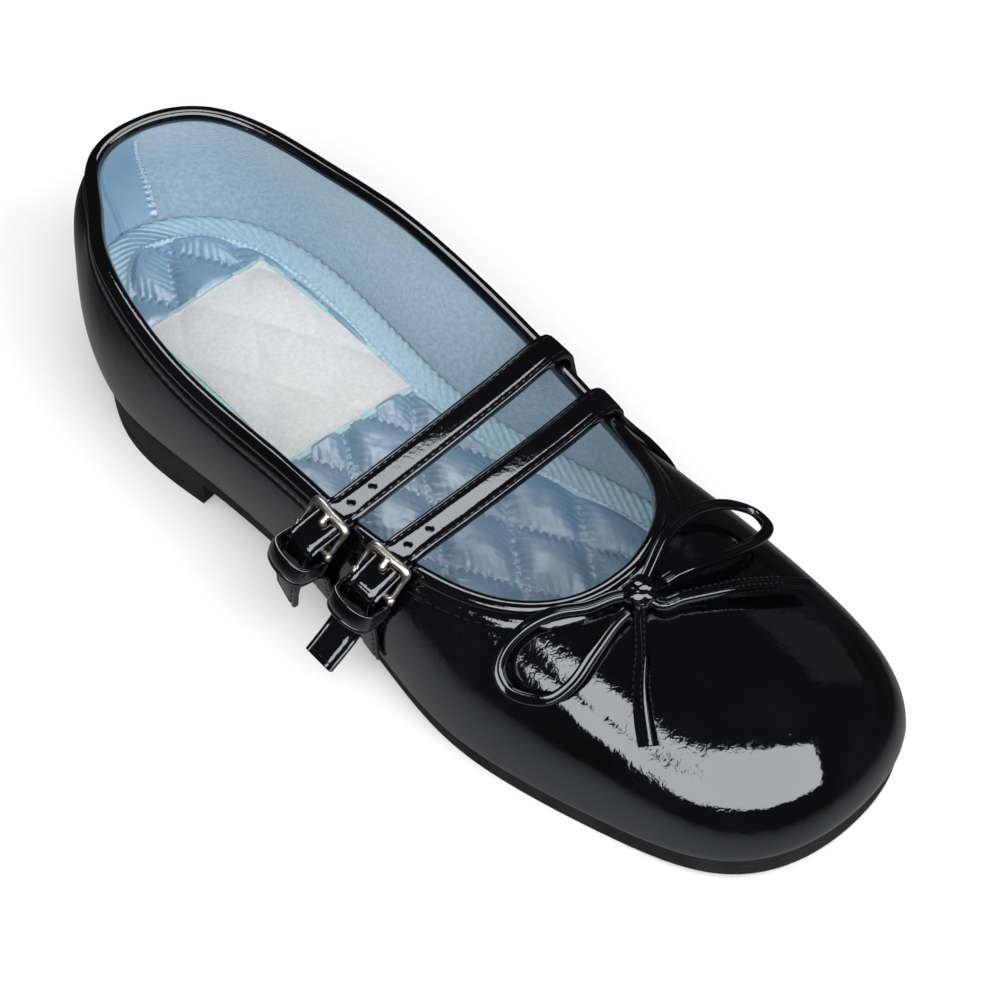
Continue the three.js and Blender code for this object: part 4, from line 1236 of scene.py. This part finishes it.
# %% [markdown]
# ## The straps
# Each strap is a double layer of patent, glued and stitched near both edges, with a round-cornered section
# and holes punched for the buckle's prong. It climbs the medial wall, crosses over, passes the buckle and
# its keeper, and ends in a free tail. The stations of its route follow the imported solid's own path.

# %% Strap and buckle sizes
STRAP_WIDE, STRAP_THICK, STRAP_SAG = 8.4, 1.6, 0.5
TAB_WIDE, TAB_THICK = 7.6, 1.1
BUCKLE_WIDE, BUCKLE_LONG, BAR, OUTER_BAR = 12.4, 8.0, 0.8, 0.95
KEEPER_LONG, KEEPER_WALL, KEEPER_RISE = 7.0, 1.2, 3.6
PRONG = 0.6
TILT_ROOM = 0.9
TAIL_TWIST = 11
BUCKLE_STEEP, BUCKLE_TILT, KEEPER_STEEP, WRAP_ANGLE = (math.radians(a) for a in (60, 16, 82, 52))
STRAP_OVER_BAR = BAR + GAP + TAB_THICK + 2 * GAP + STRAP_THICK / 2
STRAPS = {
    "rear": {"lateral": 0.266, "medial": 0.7377, "tail": 12.5, "drop": math.radians(96)},
    "front": {"lateral": 0.298, "medial": 0.6927, "tail": 13.6, "drop": math.radians(54)},
}


def along_topline(u):
    return np.cross(UP, top_out(u))


def along_upper(u, v):
    return unit(upper_point(u + 1e-3, v) - upper_point(u - 1e-3, v))


class BucklePlane:
    """The leaning plane of a strap's lateral end. Places in it are mm outward and up from the roll's centre."""

    def __init__(self, u):
        self.centre, self.out = roll_centre(u), top_out(u)
        toewards = along_topline(u)
        self.up = UP * math.cos(BUCKLE_TILT) + toewards * math.sin(BUCKLE_TILT)
        self.across = toewards * math.cos(BUCKLE_TILT) - UP * math.sin(BUCKLE_TILT)
        reach = ROLL + TILT_ROOM + STRAP_THICK + 3 * GAP + OUTER_BAR
        self.bar = reach * np.array([math.cos(WRAP_ANGLE), math.sin(WRAP_ANGLE)])

    def at(self, place):
        return self.centre + self.out * place[0] + self.up * place[1]

    def in_frame(self, s, n):
        """A place at s along the buckle frame from its outer bar and n off its face."""
        run = np.array([math.cos(BUCKLE_STEEP), -math.sin(BUCKLE_STEEP)])
        face = np.array([math.sin(BUCKLE_STEEP), math.cos(BUCKLE_STEEP)])
        return self.bar + s * run + n * face


def step(place, angle, length):
    return np.array([place[0] + length * math.cos(angle), place[1] - length * math.sin(angle)])


def strap_end(strap, plane):
    """Places of the strap's middle past the buckle: over the inner bar, through the keeper, to the tail."""
    over = plane.in_frame(BUCKLE_LONG, STRAP_OVER_BAR)
    keeper_start = over + [0.9, -2.0]
    keeper_end = step(keeper_start, KEEPER_STEEP, KEEPER_LONG)
    middle = step(keeper_end, (strap["drop"] + KEEPER_STEEP) / 2, strap["tail"] * 0.4)
    return over, keeper_start, keeper_end, middle, step(keeper_end, strap["drop"], strap["tail"])


# %% Strap routes


def strap_route(strap, plane):
    lateral, medial = strap["lateral"], strap["medial"]
    stations = [off_upper(medial, v, GAP + 0.15 + STRAP_THICK / 2) for v in (0.06, 0.2, 0.4, 0.6, 0.8)]
    sides = [-along_upper(medial, v) for v in (0.06, 0.2, 0.4, 0.6, 0.8)]
    reach = ROLL + 2 * GAP + STRAP_THICK / 2
    medial_side, medial_centre, medial_out = -along_topline(medial), roll_centre(medial), top_out(medial)
    lateral_side = along_topline(lateral) * 0.6 + plane.across * 0.4

    def over_medial(degrees):
        angle = math.radians(degrees)
        return medial_centre + reach * (medial_out * math.cos(angle) + UP * math.sin(angle))

    def over_lateral(angle, room):
        return plane.at([(reach + room) * math.cos(angle), (reach + room) * math.sin(angle)])

    stations += [over_medial(degrees) for degrees in (-8, 25, 60)]
    sides += [medial_side] * 3
    start, end = over_medial(92), over_lateral(math.radians(95), TILT_ROOM / 3)
    for t in (0, 0.25, 0.5, 0.75, 1):
        stations.append(start + (end - start) * t - UP * STRAP_SAG * 4 * t * (1 - t))
        sides.append(unit(medial_side + (lateral_side - medial_side) * smooth(t)))
    past_buckle = [plane.at(place) for place in strap_end(strap, plane)]
    stations += [over_lateral(WRAP_ANGLE, TILT_ROOM), *past_buckle]
    twist = np.radians([0, 0, 0, 0, 0.6 * TAIL_TWIST, TAIL_TWIST])[:, None]
    face = unit(np.cross(past_buckle[-1] - past_buckle[-2], plane.across))
    sides += list(plane.across * np.cos(twist) + face * np.sin(twist))
    return Route(stations, sides)


PLANES = {name: BucklePlane(strap["lateral"]) for name, strap in STRAPS.items()}
STRAP_ROUTES = {name: strap_route(strap, PLANES[name]) for name, strap in STRAPS.items()}
print("strap lengths, mm:", {name: round(route.length, 1) for name, route in STRAP_ROUTES.items()})

# %% Strip sections: soft edges and a sunk line under the stitches


def strip_section(wide, thick, line):
    """Half of a stitched strip's outer face, then its edge and its flat back, mirrored to a closed section."""
    half, top = wide / 2, thick / 2
    right = [(0.0, top + 0.02), (line * 0.5, top + 0.018), (line - 0.55, top + 0.01), (line - 0.25, top - 0.12),
             (line, top - 0.2), (line + 0.25, top - 0.12), (line + 0.5, top - 0.01), (half - 0.32, top - 0.05),
             (half - 0.1, top - 0.2), (half, top - 0.5 * thick + 0.05), (half - 0.08, 0.2 - top),
             (half - 0.35, 0.02 - top), (line, -top), (0.0, -top)]
    left = [(-w, n) for w, n in right[-2:0:-1]]
    return right + left


STRAP_SECTION = strip_section(STRAP_WIDE, STRAP_THICK, 2.95)
TAB_SECTION = strip_section(TAB_WIDE, TAB_THICK, 2.75)

# %% Straps with punched holes
PRONG_PLACE = 0.46
HOLE = 0.85


def nearest_place(route, target):
    s = np.linspace(0, route.length, 4000)
    return s[np.argmin(np.linalg.norm(route.frame(s)[0] - target, axis=1))]


def punch_holes(obj, route, places):
    """Cuts round holes square to the strap's face, each with a countersunk rim."""
    for s in places:
        point, _, _, normal = route.frame(np.array([s]))
        spin = Vector(normal[0]).to_track_quat("Z", "Y").to_euler()
        middle = (point[0] + CENTRE) * MM
        rim = (point[0] + normal[0] * STRAP_THICK * 0.5 + CENTRE) * MM
        bpy.ops.mesh.primitive_cylinder_add(vertices=24, radius=HOLE * MM, depth=6 * MM, location=middle, rotation=spin)
        cutters = [bpy.context.object]
        bpy.ops.mesh.primitive_cone_add(vertices=24, radius1=HOLE * 0.9 * MM, radius2=HOLE * 1.75 * MM,
                                        depth=0.8 * MM, location=rim, rotation=spin)
        cutters.append(bpy.context.object)
        for cutter in cutters:
            modify(obj, "BOOLEAN", operation="DIFFERENCE", object=cutter, solver="EXACT")
            bpy.data.objects.remove(cutter)


def hole_places(name):
    route, plane = STRAP_ROUTES[name], PLANES[name]
    first = nearest_place(route, plane.at(plane.in_frame(BUCKLE_LONG * PRONG_PLACE, 0)))
    return [first, first - 8.0, first - 15.0]


for name, route in STRAP_ROUTES.items():
    obj = sweep(f"strap_band_{name}", route, STRAP_SECTION, 170, rounding=0.35)
    punch_holes(obj, route, hole_places(name))
    finish_piece(obj, PATENT_STRIP, [f"strap_{name}"], sharp=45)

rows = []
for name, route in STRAP_ROUTES.items():
    plane = PLANES[name]
    for side in (-1, 1):
        rows.append(route_stitches(route, side * 2.95, STRAP_THICK / 2 - 0.16, 1.2, route.length - 1.0, 2.35))
    at, along, normal = route_stitches(route, 0, STRAP_THICK / 2 - 0.05, route.length - 1.3, route.length - 1.2, 1)
    across = route.frame(np.array([route.length - 1.3]))[2]
    w = np.linspace(-2.1, 2.1, 3)
    rows.append((at + across * w[:, None], np.repeat(across, 3, 0), np.repeat(normal, 3, 0)))
stitch_rows("strap_stitches", BLACK_THREAD, rows, long=1.6)

# %% [markdown]
# ## Buckles
# A tab holds each buckle: it folds round the inner bar, passes under the keeper and is sewn into the wall.
# The frame is one bent wire, heavier at the outer bar, where the prong's tip rests.

# %% Buckle tabs


def tab_route(name):
    strap, plane = STRAPS[name], PLANES[name]
    _, keeper_start, keeper_end, _, _ = strap_end(strap, plane)
    bar = plane.in_frame(BUCKLE_LONG, 0)
    reach = BAR + GAP + TAB_THICK / 2
    below = (STRAP_THICK + TAB_THICK) / 2 + 3 * GAP
    under = -below * np.array([math.sin(KEEPER_STEEP), math.cos(KEEPER_STEEP)])
    stations = []
    for degrees in (-100, -145, 170, 125, 80):
        angle = math.radians(degrees) - BUCKLE_STEEP
        stations.append(plane.at(bar + reach * np.array([math.cos(angle), math.sin(angle)])))
    stations += [plane.at(keeper_start + under), plane.at(keeper_end + [0, -0.8] + under)]
    sides = [plane.across] * 7
    for v, lift in ((0.45, 1.2), (0.33, 0.3), (0.2, 0.05), (0.06, 0.0)):
        u = strap["lateral"] - 0.018 * (1 - v)
        stations.append(off_upper(u, v, GAP + 0.15 + TAB_THICK / 2 + lift))
        sides.append(along_upper(u, v))
    return Route(stations, sides)


rows = []
for name in STRAPS:
    route = tab_route(name)
    obj = sweep(f"buckle_tab_strip_{name}", route, TAB_SECTION, 90, rounding=0.25)
    finish_piece(obj, PATENT_STRIP, [f"buckle_tab_{name}"], sharp=45)
    for side in (-1, 1):
        rows.append(route_stitches(route, side * 2.75, TAB_THICK / 2 - 0.16, 9, route.length - 1, 2.35))
stitch_rows("tab_stitches", BLACK_THREAD, rows, long=1.6)

# %% Buckle frames


def ring_sweep(name, route, rows, sides, section):
    """A closed tube along a closed route. The section function gives w and n at places and angles."""
    obj, turn, rise = tube_blank(name, sides, rows, caps="NOTHING")
    s = rise % 1.0 * route.length
    w, n = section(s, turn)
    place_points(obj, route.place(s, w, n))
    tidy_mesh(obj)
    return obj


def buckle_route(plane):
    half, corner = BUCKLE_WIDE / 2 - OUTER_BAR, 1.3
    near, low = half - 0.3 * corner, 0.3 * corner
    side = [(half - corner, 0), (near, low), (half, corner), (half, BUCKLE_LONG / 2), (half, BUCKLE_LONG - corner),
            (near, BUCKLE_LONG - low), (half - corner, BUCKLE_LONG)]
    outline = [(0, 0), *side, (0, BUCKLE_LONG), *((-w, s) for w, s in reversed(side))]
    bow = [0.35 * max(0, 1 - (w / half) ** 2) * (1 - s / BUCKLE_LONG) for w, s in outline]
    points = [plane.at(plane.in_frame(s, rise)) + plane.across * w for (w, s), rise in zip(outline, bow)]
    face = plane.at(plane.in_frame(0, 1)) - plane.at(plane.in_frame(0, 0))
    return Route(points, [face] * len(points), closed=True)


for name, plane in PLANES.items():
    route = buckle_route(plane)
    bar_place = plane.at(plane.in_frame(0, 0))
    run = unit(plane.at(plane.in_frame(1, 0)) - bar_place)

    def wire_section(s, turn):
        """Round wire: heavy at the outer bar, slimmer and flatter down the arms."""
        down = (route.frame(s)[0] - bar_place) @ run / BUCKLE_LONG
        thick = OUTER_BAR + 0.12 - 0.42 * smooth(down / 0.35) + 0.16 * smooth((down - 0.85) / 0.15)
        angle = turn * math.tau
        return thick * np.cos(angle), thick * np.sin(angle)

    frame_wire = ring_sweep(f"buckle_frame_{name}", route, 150, 16, wire_section)
    finish_piece(frame_wire, NICKEL, [f"buckle_{name}"], sharp=60)
    for side in (-1, 1):
        inner_bar = plane.at(plane.in_frame(BUCKLE_LONG + 0.15, 0))
        end = inner_bar + plane.across * side * (BUCKLE_WIDE / 2 - OUTER_BAR + 0.1)
        bpy.ops.mesh.primitive_uv_sphere_add(segments=20, ring_count=12, radius=1)
        bead = named(f"buckle_bead_{name}_{'toe' if side > 0 else 'heel'}")
        place_points(bead, points(bead) * [1.05, 1.05, 1.05] + end)
        finish_piece(bead, NICKEL, sharp=60)

# %% Prongs
PRONG_ROOM = 0.55       # from the strap or the bar to the middle of the prong's wire

for name, plane in PLANES.items():
    route = STRAP_ROUTES[name]
    s = hole_places(name)[0]
    point, tangent, side, normal = (a[0] for a in route.frame(np.array([s])))
    backwards = -tangent if tangent[2] < 0 else tangent
    clear = STRAP_THICK / 2 + GAP + PRONG_ROOM
    root = [point + backwards * a + normal * b for a, b in
            ((-1.6, -clear - 0.1), (-0.8, -clear - 0.1), (-0.1, -clear * 0.5), (0, 0.2), (0.1, clear * 0.9))]
    over = OUTER_BAR + GAP + PRONG_ROOM
    tip = [plane.at(plane.in_frame(a, over + b)) for a, b in ((2.2, 0.55), (0.9, 0.35), (-0.4, 0.1))]
    wire = Route(root + tip, [plane.across] * 8)
    obj = sweep(f"buckle_prong_{name}", wire, oval_section(2 * PRONG + 0.5, 2 * PRONG, 14, power=2.6), 48,
                rounding=0.3)
    finish_piece(obj, NICKEL, [f"prong_{name}"], sharp=60)

# %% [markdown]
# ## Keepers
# The keeper is a stiff loop of doubled patent with a domed front. Its lower edge shows the second layer.

# %% Keepers


def keeper_route(name):
    plane = PLANES[name]
    _, keeper_start, keeper_end, _, _ = strap_end(STRAPS[name], plane)
    start = plane.at(keeper_start)
    along = unit(plane.at(keeper_end) - start)
    out = unit(np.cross(plane.across, along))
    out = out if out @ plane.out > 0 else -out
    back_depth = STRAP_THICK / 2 + TAB_THICK + 6.5 * GAP + KEEPER_WALL / 2
    half = STRAP_WIDE / 2 + 0.5 + KEEPER_WALL / 2
    outline = [(-half + 0.5, -back_depth), (half - 0.5, -back_depth), (half, -back_depth + 0.5)]
    for degrees in range(0, 181, 15):
        angle = math.radians(degrees)
        rise = STRAP_THICK / 2 + GAP + KEEPER_WALL / 2 + (KEEPER_RISE - KEEPER_WALL) * math.sin(angle)
        outline.append((half * math.cos(angle), rise))
    outline.append((-half, -back_depth + 0.5))
    middle = start + along * KEEPER_LONG / 2
    stations = [middle + plane.across * w + out * n for w, n in outline]
    return Route(stations, [along] * len(stations), closed=True), middle


KEEPER_HALF = KEEPER_LONG / 2 - 0.4
for name in STRAPS:
    route, middle = keeper_route(name)
    point, _, _, normal = route.frame(np.array([0.0]))
    outwards = 1 if (point[0] - middle) @ normal[0] > 0 else -1

    def keeper_section(_, turn):
        """A doubled band: rounded rims, and a line round it where the second layer ends."""
        angle = turn * math.tau
        w = np.sign(np.cos(angle)) * abs(np.cos(angle)) ** 0.35 * KEEPER_HALF
        n = np.sign(np.sin(angle)) * abs(np.sin(angle)) ** 0.35 * KEEPER_WALL / 2
        outer = n * outwards > 0
        n = n - np.where(outer, outwards * 0.28 * np.exp(-(((w - KEEPER_HALF + 1.35) / 0.2) ** 2)), 0)
        n = n + np.where(outer, outwards * 0.22 * np.exp(-((w / 2.2) ** 2)), 0)
        return w, n

    obj = ring_sweep(f"keeper_loop_{name}", route, 110, 56, keeper_section)
    finish_piece(obj, PATENT_STRIP, [f"keeper_{name}"], sharp=60)

# %% [markdown]
# ## The sole and heel
# The outsole is a thin rubber plate cut a little inside the upper's overhang, with a softened edge. The
# heel is a low block with a worn-in bevel and the line of its top piece. Their blanks are tubes whose two
# ends close on a line down the middle of the sole, so the flat faces are clean quads without a pole.

# %% Outsole
SOLE_THICK, SOLE_INSET = 4.4, 1.3
BREAST_U = 0.166


def feather_point(u, inset):
    row = last_at(u)
    foot = np.stack([row[..., FX], row[..., FY], 0 * row[..., FX]], -1)
    return foot - feather_out(u) * np.asarray(inset, float)[..., None]


def spine(u):
    """A point on the sole's middle line, abreast of the edge at u."""
    half = np.clip(np.minimum(u, 1 - u), 0.06, 0.44)
    return (feather_point(half, 0) + feather_point(1 - half, 0)) / 2


def sole_top(y):
    return feather_height(y) - GAP


def sole_bottom(y):
    return np.maximum(sole_top(y) - SOLE_THICK - 0.3, 0)


# each row: share of the way from the spine to the edge, inset at the edge, height through the plate
SOLE_PROFILE = [(k / 9, 0.55, 0.0) for k in range(10)] + [
    (1, 0.16, 0.04), (1, 0.0, 0.13), (1, -0.02, 0.3), (1, 0.0, 0.52), (1, 0.02, 0.60), (1, 0.24, 0.63), (1, 0.24, 0.67),
    (1, 0.02, 0.70), (1, 0.0, 0.8), (1, 0.12, 0.94), (1, 0.4, 1.0)] + [(1 - k / 3, 0.6, 1.0) for k in range(1, 4)]


def plate(name, around_count, profile, edge_at, middle_at, low, high):
    """A closed plate whose section rows run from the middle of its bottom, round the edge, to its top."""
    obj, around, rise = tube_blank(name, around_count, len(profile) - 1, caps="NOTHING")
    table = np.array(profile)[np.rint(rise * (len(profile) - 1)).astype(int)]
    share, inset, through = table.T
    point = middle_at(around) * (1 - share)[:, None] + edge_at(around, inset) * share[:, None]
    y = point[:, 1]
    point[:, 2] = low(y) * (1 - through) + high(y) * through
    place_points(obj, point)
    tidy_mesh(obj)
    return obj


outsole = plate("outsole_plate", 400, SOLE_PROFILE, lambda u, inset: feather_point(u, SOLE_INSET + inset), spine,
                sole_bottom, sole_top)
finish_piece(outsole, SOLE_RUBBER, ["outsole"], sharp=50)

# %% Heel
HEEL_INSET, HEEL_TAPER = 1.9, 1.2


def heel_edge(around, inset):
    """The heel's outline: round the back for most of the way, then across its breast. Insets go inwards."""
    back_share = 0.8
    turn = (around + 0.5) % 1.0
    on_back = np.clip((turn - (1 - back_share) / 2) / back_share, 0, 1)
    back = feather_point((on_back - 0.5) * 2 * BREAST_U, HEEL_INSET)
    left, right = feather_point(-BREAST_U, HEEL_INSET), feather_point(BREAST_U, HEEL_INSET)
    across = np.clip((around - 0.5) / (1 - back_share) + 0.5, 0, 1)
    breast = right + (left - right) * across[..., None]
    breast[..., 1] += 2.2 * np.sin(math.pi * across)
    on_breast = abs(around - 0.5) < (1 - back_share) / 2
    edge = np.where(on_breast[..., None], breast, back)
    return edge + unit(heel_middle(around) - edge) * inset[..., None]


def heel_middle(around):
    middle = (feather_point(0.09, 0) + feather_point(-0.09, 0)) / 2
    return np.broadcast_to(middle, around.shape + (3,)).copy()


HEEL_PROFILE = [(k / 4, HEEL_TAPER + 0.6, 0.0) for k in range(5)] + [
    (1, HEEL_TAPER + 0.15, 0.03), (1, HEEL_TAPER, 0.09), (1, HEEL_TAPER * 0.8, 0.33),
    (1, HEEL_TAPER * 0.8 + 0.25, 0.35), (1, HEEL_TAPER * 0.8 + 0.25, 0.38), (1, HEEL_TAPER * 0.75, 0.40),
    (1, HEEL_TAPER * 0.4, 0.7), (1, 0, 1.0), (0.5, 0, 1.0), (0, 0, 1.0)]
heel = plate("heel_block", 260, HEEL_PROFILE, heel_edge, heel_middle, lambda y: 0 * y, lambda y: sole_bottom(y) - GAP)
finish_piece(heel, SOLE_RUBBER, ["heel"], sharp=35)

# %% [markdown]
# ## Floor and light
# The floor is plain and pale. Black patent shows nothing but reflections, so the lights are placed by the
# shapes that they draw. A wide softbox in front of the toe draws the bright crescent, and a second one on the
# lateral side, turned the same way, carries it on. A small one over the heel is mirrored in the straps, and
# a weak reflector gives the vamp's medial side its grey.

# %% Floor and world


def make_floor():
    """Pale paper. In the patent's reflections only the paper close to the shoe is bright."""
    bpy.ops.mesh.primitive_plane_add(size=16, location=(0, 0, 0))
    floor = named("studio_floor")
    material, tree, shader, coordinates = new_material("studio_paper", (0.9, 0.9, 0.905), 0.9)
    fibres = add_node(tree, "TexNoise", Vector=coordinates, Scale=6.0, Detail=3.0)
    tint(tree, shader, fibres.outputs[0], (0.89, 0.89, 0.895), (0.91, 0.91, 0.915))
    across, along, _ = add_node(tree, "SeparateXYZ", Vector=coordinates).outputs
    beyond = math_node(tree, "MAXIMUM", math_node(tree, "SUBTRACT", math_node(tree, "ABSOLUTE", along), 0.08), 0.0)
    from_middle = add_node(tree, "CombineXYZ", X=across, Y=beyond)
    away = add_node(tree, "VectorMath", {"operation": "LENGTH"}, _0=from_middle.outputs[0]).outputs["Value"]
    dim = add_node(tree, "MapRange", {"interpolation_type": "SMOOTHSTEP"}, Value=away, From_Min=0.04, From_Max=0.11,
                   To_Min=0.75, To_Max=0.985)
    path = tree.nodes.new("ShaderNodeLightPath")
    # beyond the softboxes' light the paper is lifted to the backdrop's tone, so that the horizon stays pale
    lift = add_node(tree, "MapRange", {"interpolation_type": "SMOOTHSTEP"}, Value=away, From_Min=0.3, From_Max=1.2,
                    To_Min=0.0, To_Max=0.43)
    shader.inputs["Emission Color"].default_value = (1, 1, 1, 1)
    tree.links.new(math_node(tree, "MULTIPLY", path.outputs["Is Camera Ray"], lift.outputs[0]),
                   shader.inputs["Emission Strength"])
    dark = add_node(tree, "BsdfDiffuse", Color=(0.0, 0.0, 0.0, 1))
    mix = add_node(tree, "MixShader", _0=math_node(tree, "MULTIPLY", path.outputs["Is Glossy Ray"], dim.outputs[0]),
                   _1=shader.outputs[0], _2=dark.outputs[0])
    tree.links.new(mix.outputs[0], tree.nodes["Material Output"].inputs["Surface"])
    floor.data.materials.append(material)


def make_world():
    """A pale backdrop to the eye, dim in reflections, and a soft fill on the shoe."""
    world = bpy.data.worlds.new("studio")
    bpy.context.scene.world = world
    world.use_nodes = True
    tree = world.node_tree
    background = tree.nodes["Background"]
    path = tree.nodes.new("ShaderNodeLightPath")
    seen = math_node(tree, "MULTIPLY", path.outputs["Is Camera Ray"], 0.97)
    mirrored = math_node(tree, "MULTIPLY", path.outputs["Is Glossy Ray"], 0.025)
    fill = math_node(tree, "MULTIPLY", path.outputs["Is Diffuse Ray"], 0.6)
    tree.links.new(math_node(tree, "ADD", math_node(tree, "ADD", seen, mirrored), fill), background.inputs["Strength"])
    background.inputs["Color"].default_value = (1, 1, 1, 1)


make_floor()
make_world()

# %% Softboxes


def softbox(name, place, aim, wide, high, radiance, roll=0.0):
    """A rectangular light of a given radiance, turned to face its aim and rolled about that direction."""
    bpy.ops.object.light_add(type="AREA", location=place)
    light = named(name)
    light.data.shape = "RECTANGLE"
    light.data.size, light.data.size_y = wide, high
    light.data.energy = radiance * math.pi * wide * high
    light.rotation_euler = (Vector(aim) - Vector(place)).to_track_quat("-Z", "Y").to_euler()
    light.rotation_euler.rotate_axis("Z", roll)
    light.visible_camera = False
    return light


FACING = Vector((0.359, 0.718, -0.597))        # both large softboxes lie in planes square to this
SOFTBOX_RADIANCE = 4.3
for name, place, wide, high in (("key_softbox", (-0.310, -0.871, 0.781), 2.62, 1.10),
                                ("low_softbox", (-1.877, -0.223, 0.615), 0.77, 0.71)):
    softbox(name, place, Vector(place) + FACING, wide, high, SOFTBOX_RADIANCE)
strap_light = softbox("strap_softbox", (0.063, 0.081, 0.306), (-0.069, -0.022, 0.107), 0.17, 0.15, 3.9, roll=0.43)
strap_light.visible_diffuse = False             # it is there to be mirrored, and adds no light of its own
softbox("side_reflector", heading(math.radians(91), math.radians(22)) * 1.4, (0.03, -0.05, 0.04), 0.42, 0.58, 0.06)
bpy.context.scene.view_settings.view_transform = "Standard"

# %% [markdown]
# ## Face count
# The last cell adds up the faces of every piece. The looks must keep the imported size.

# %% Face count
print("total faces:", sum(count for _, count in piece_count))
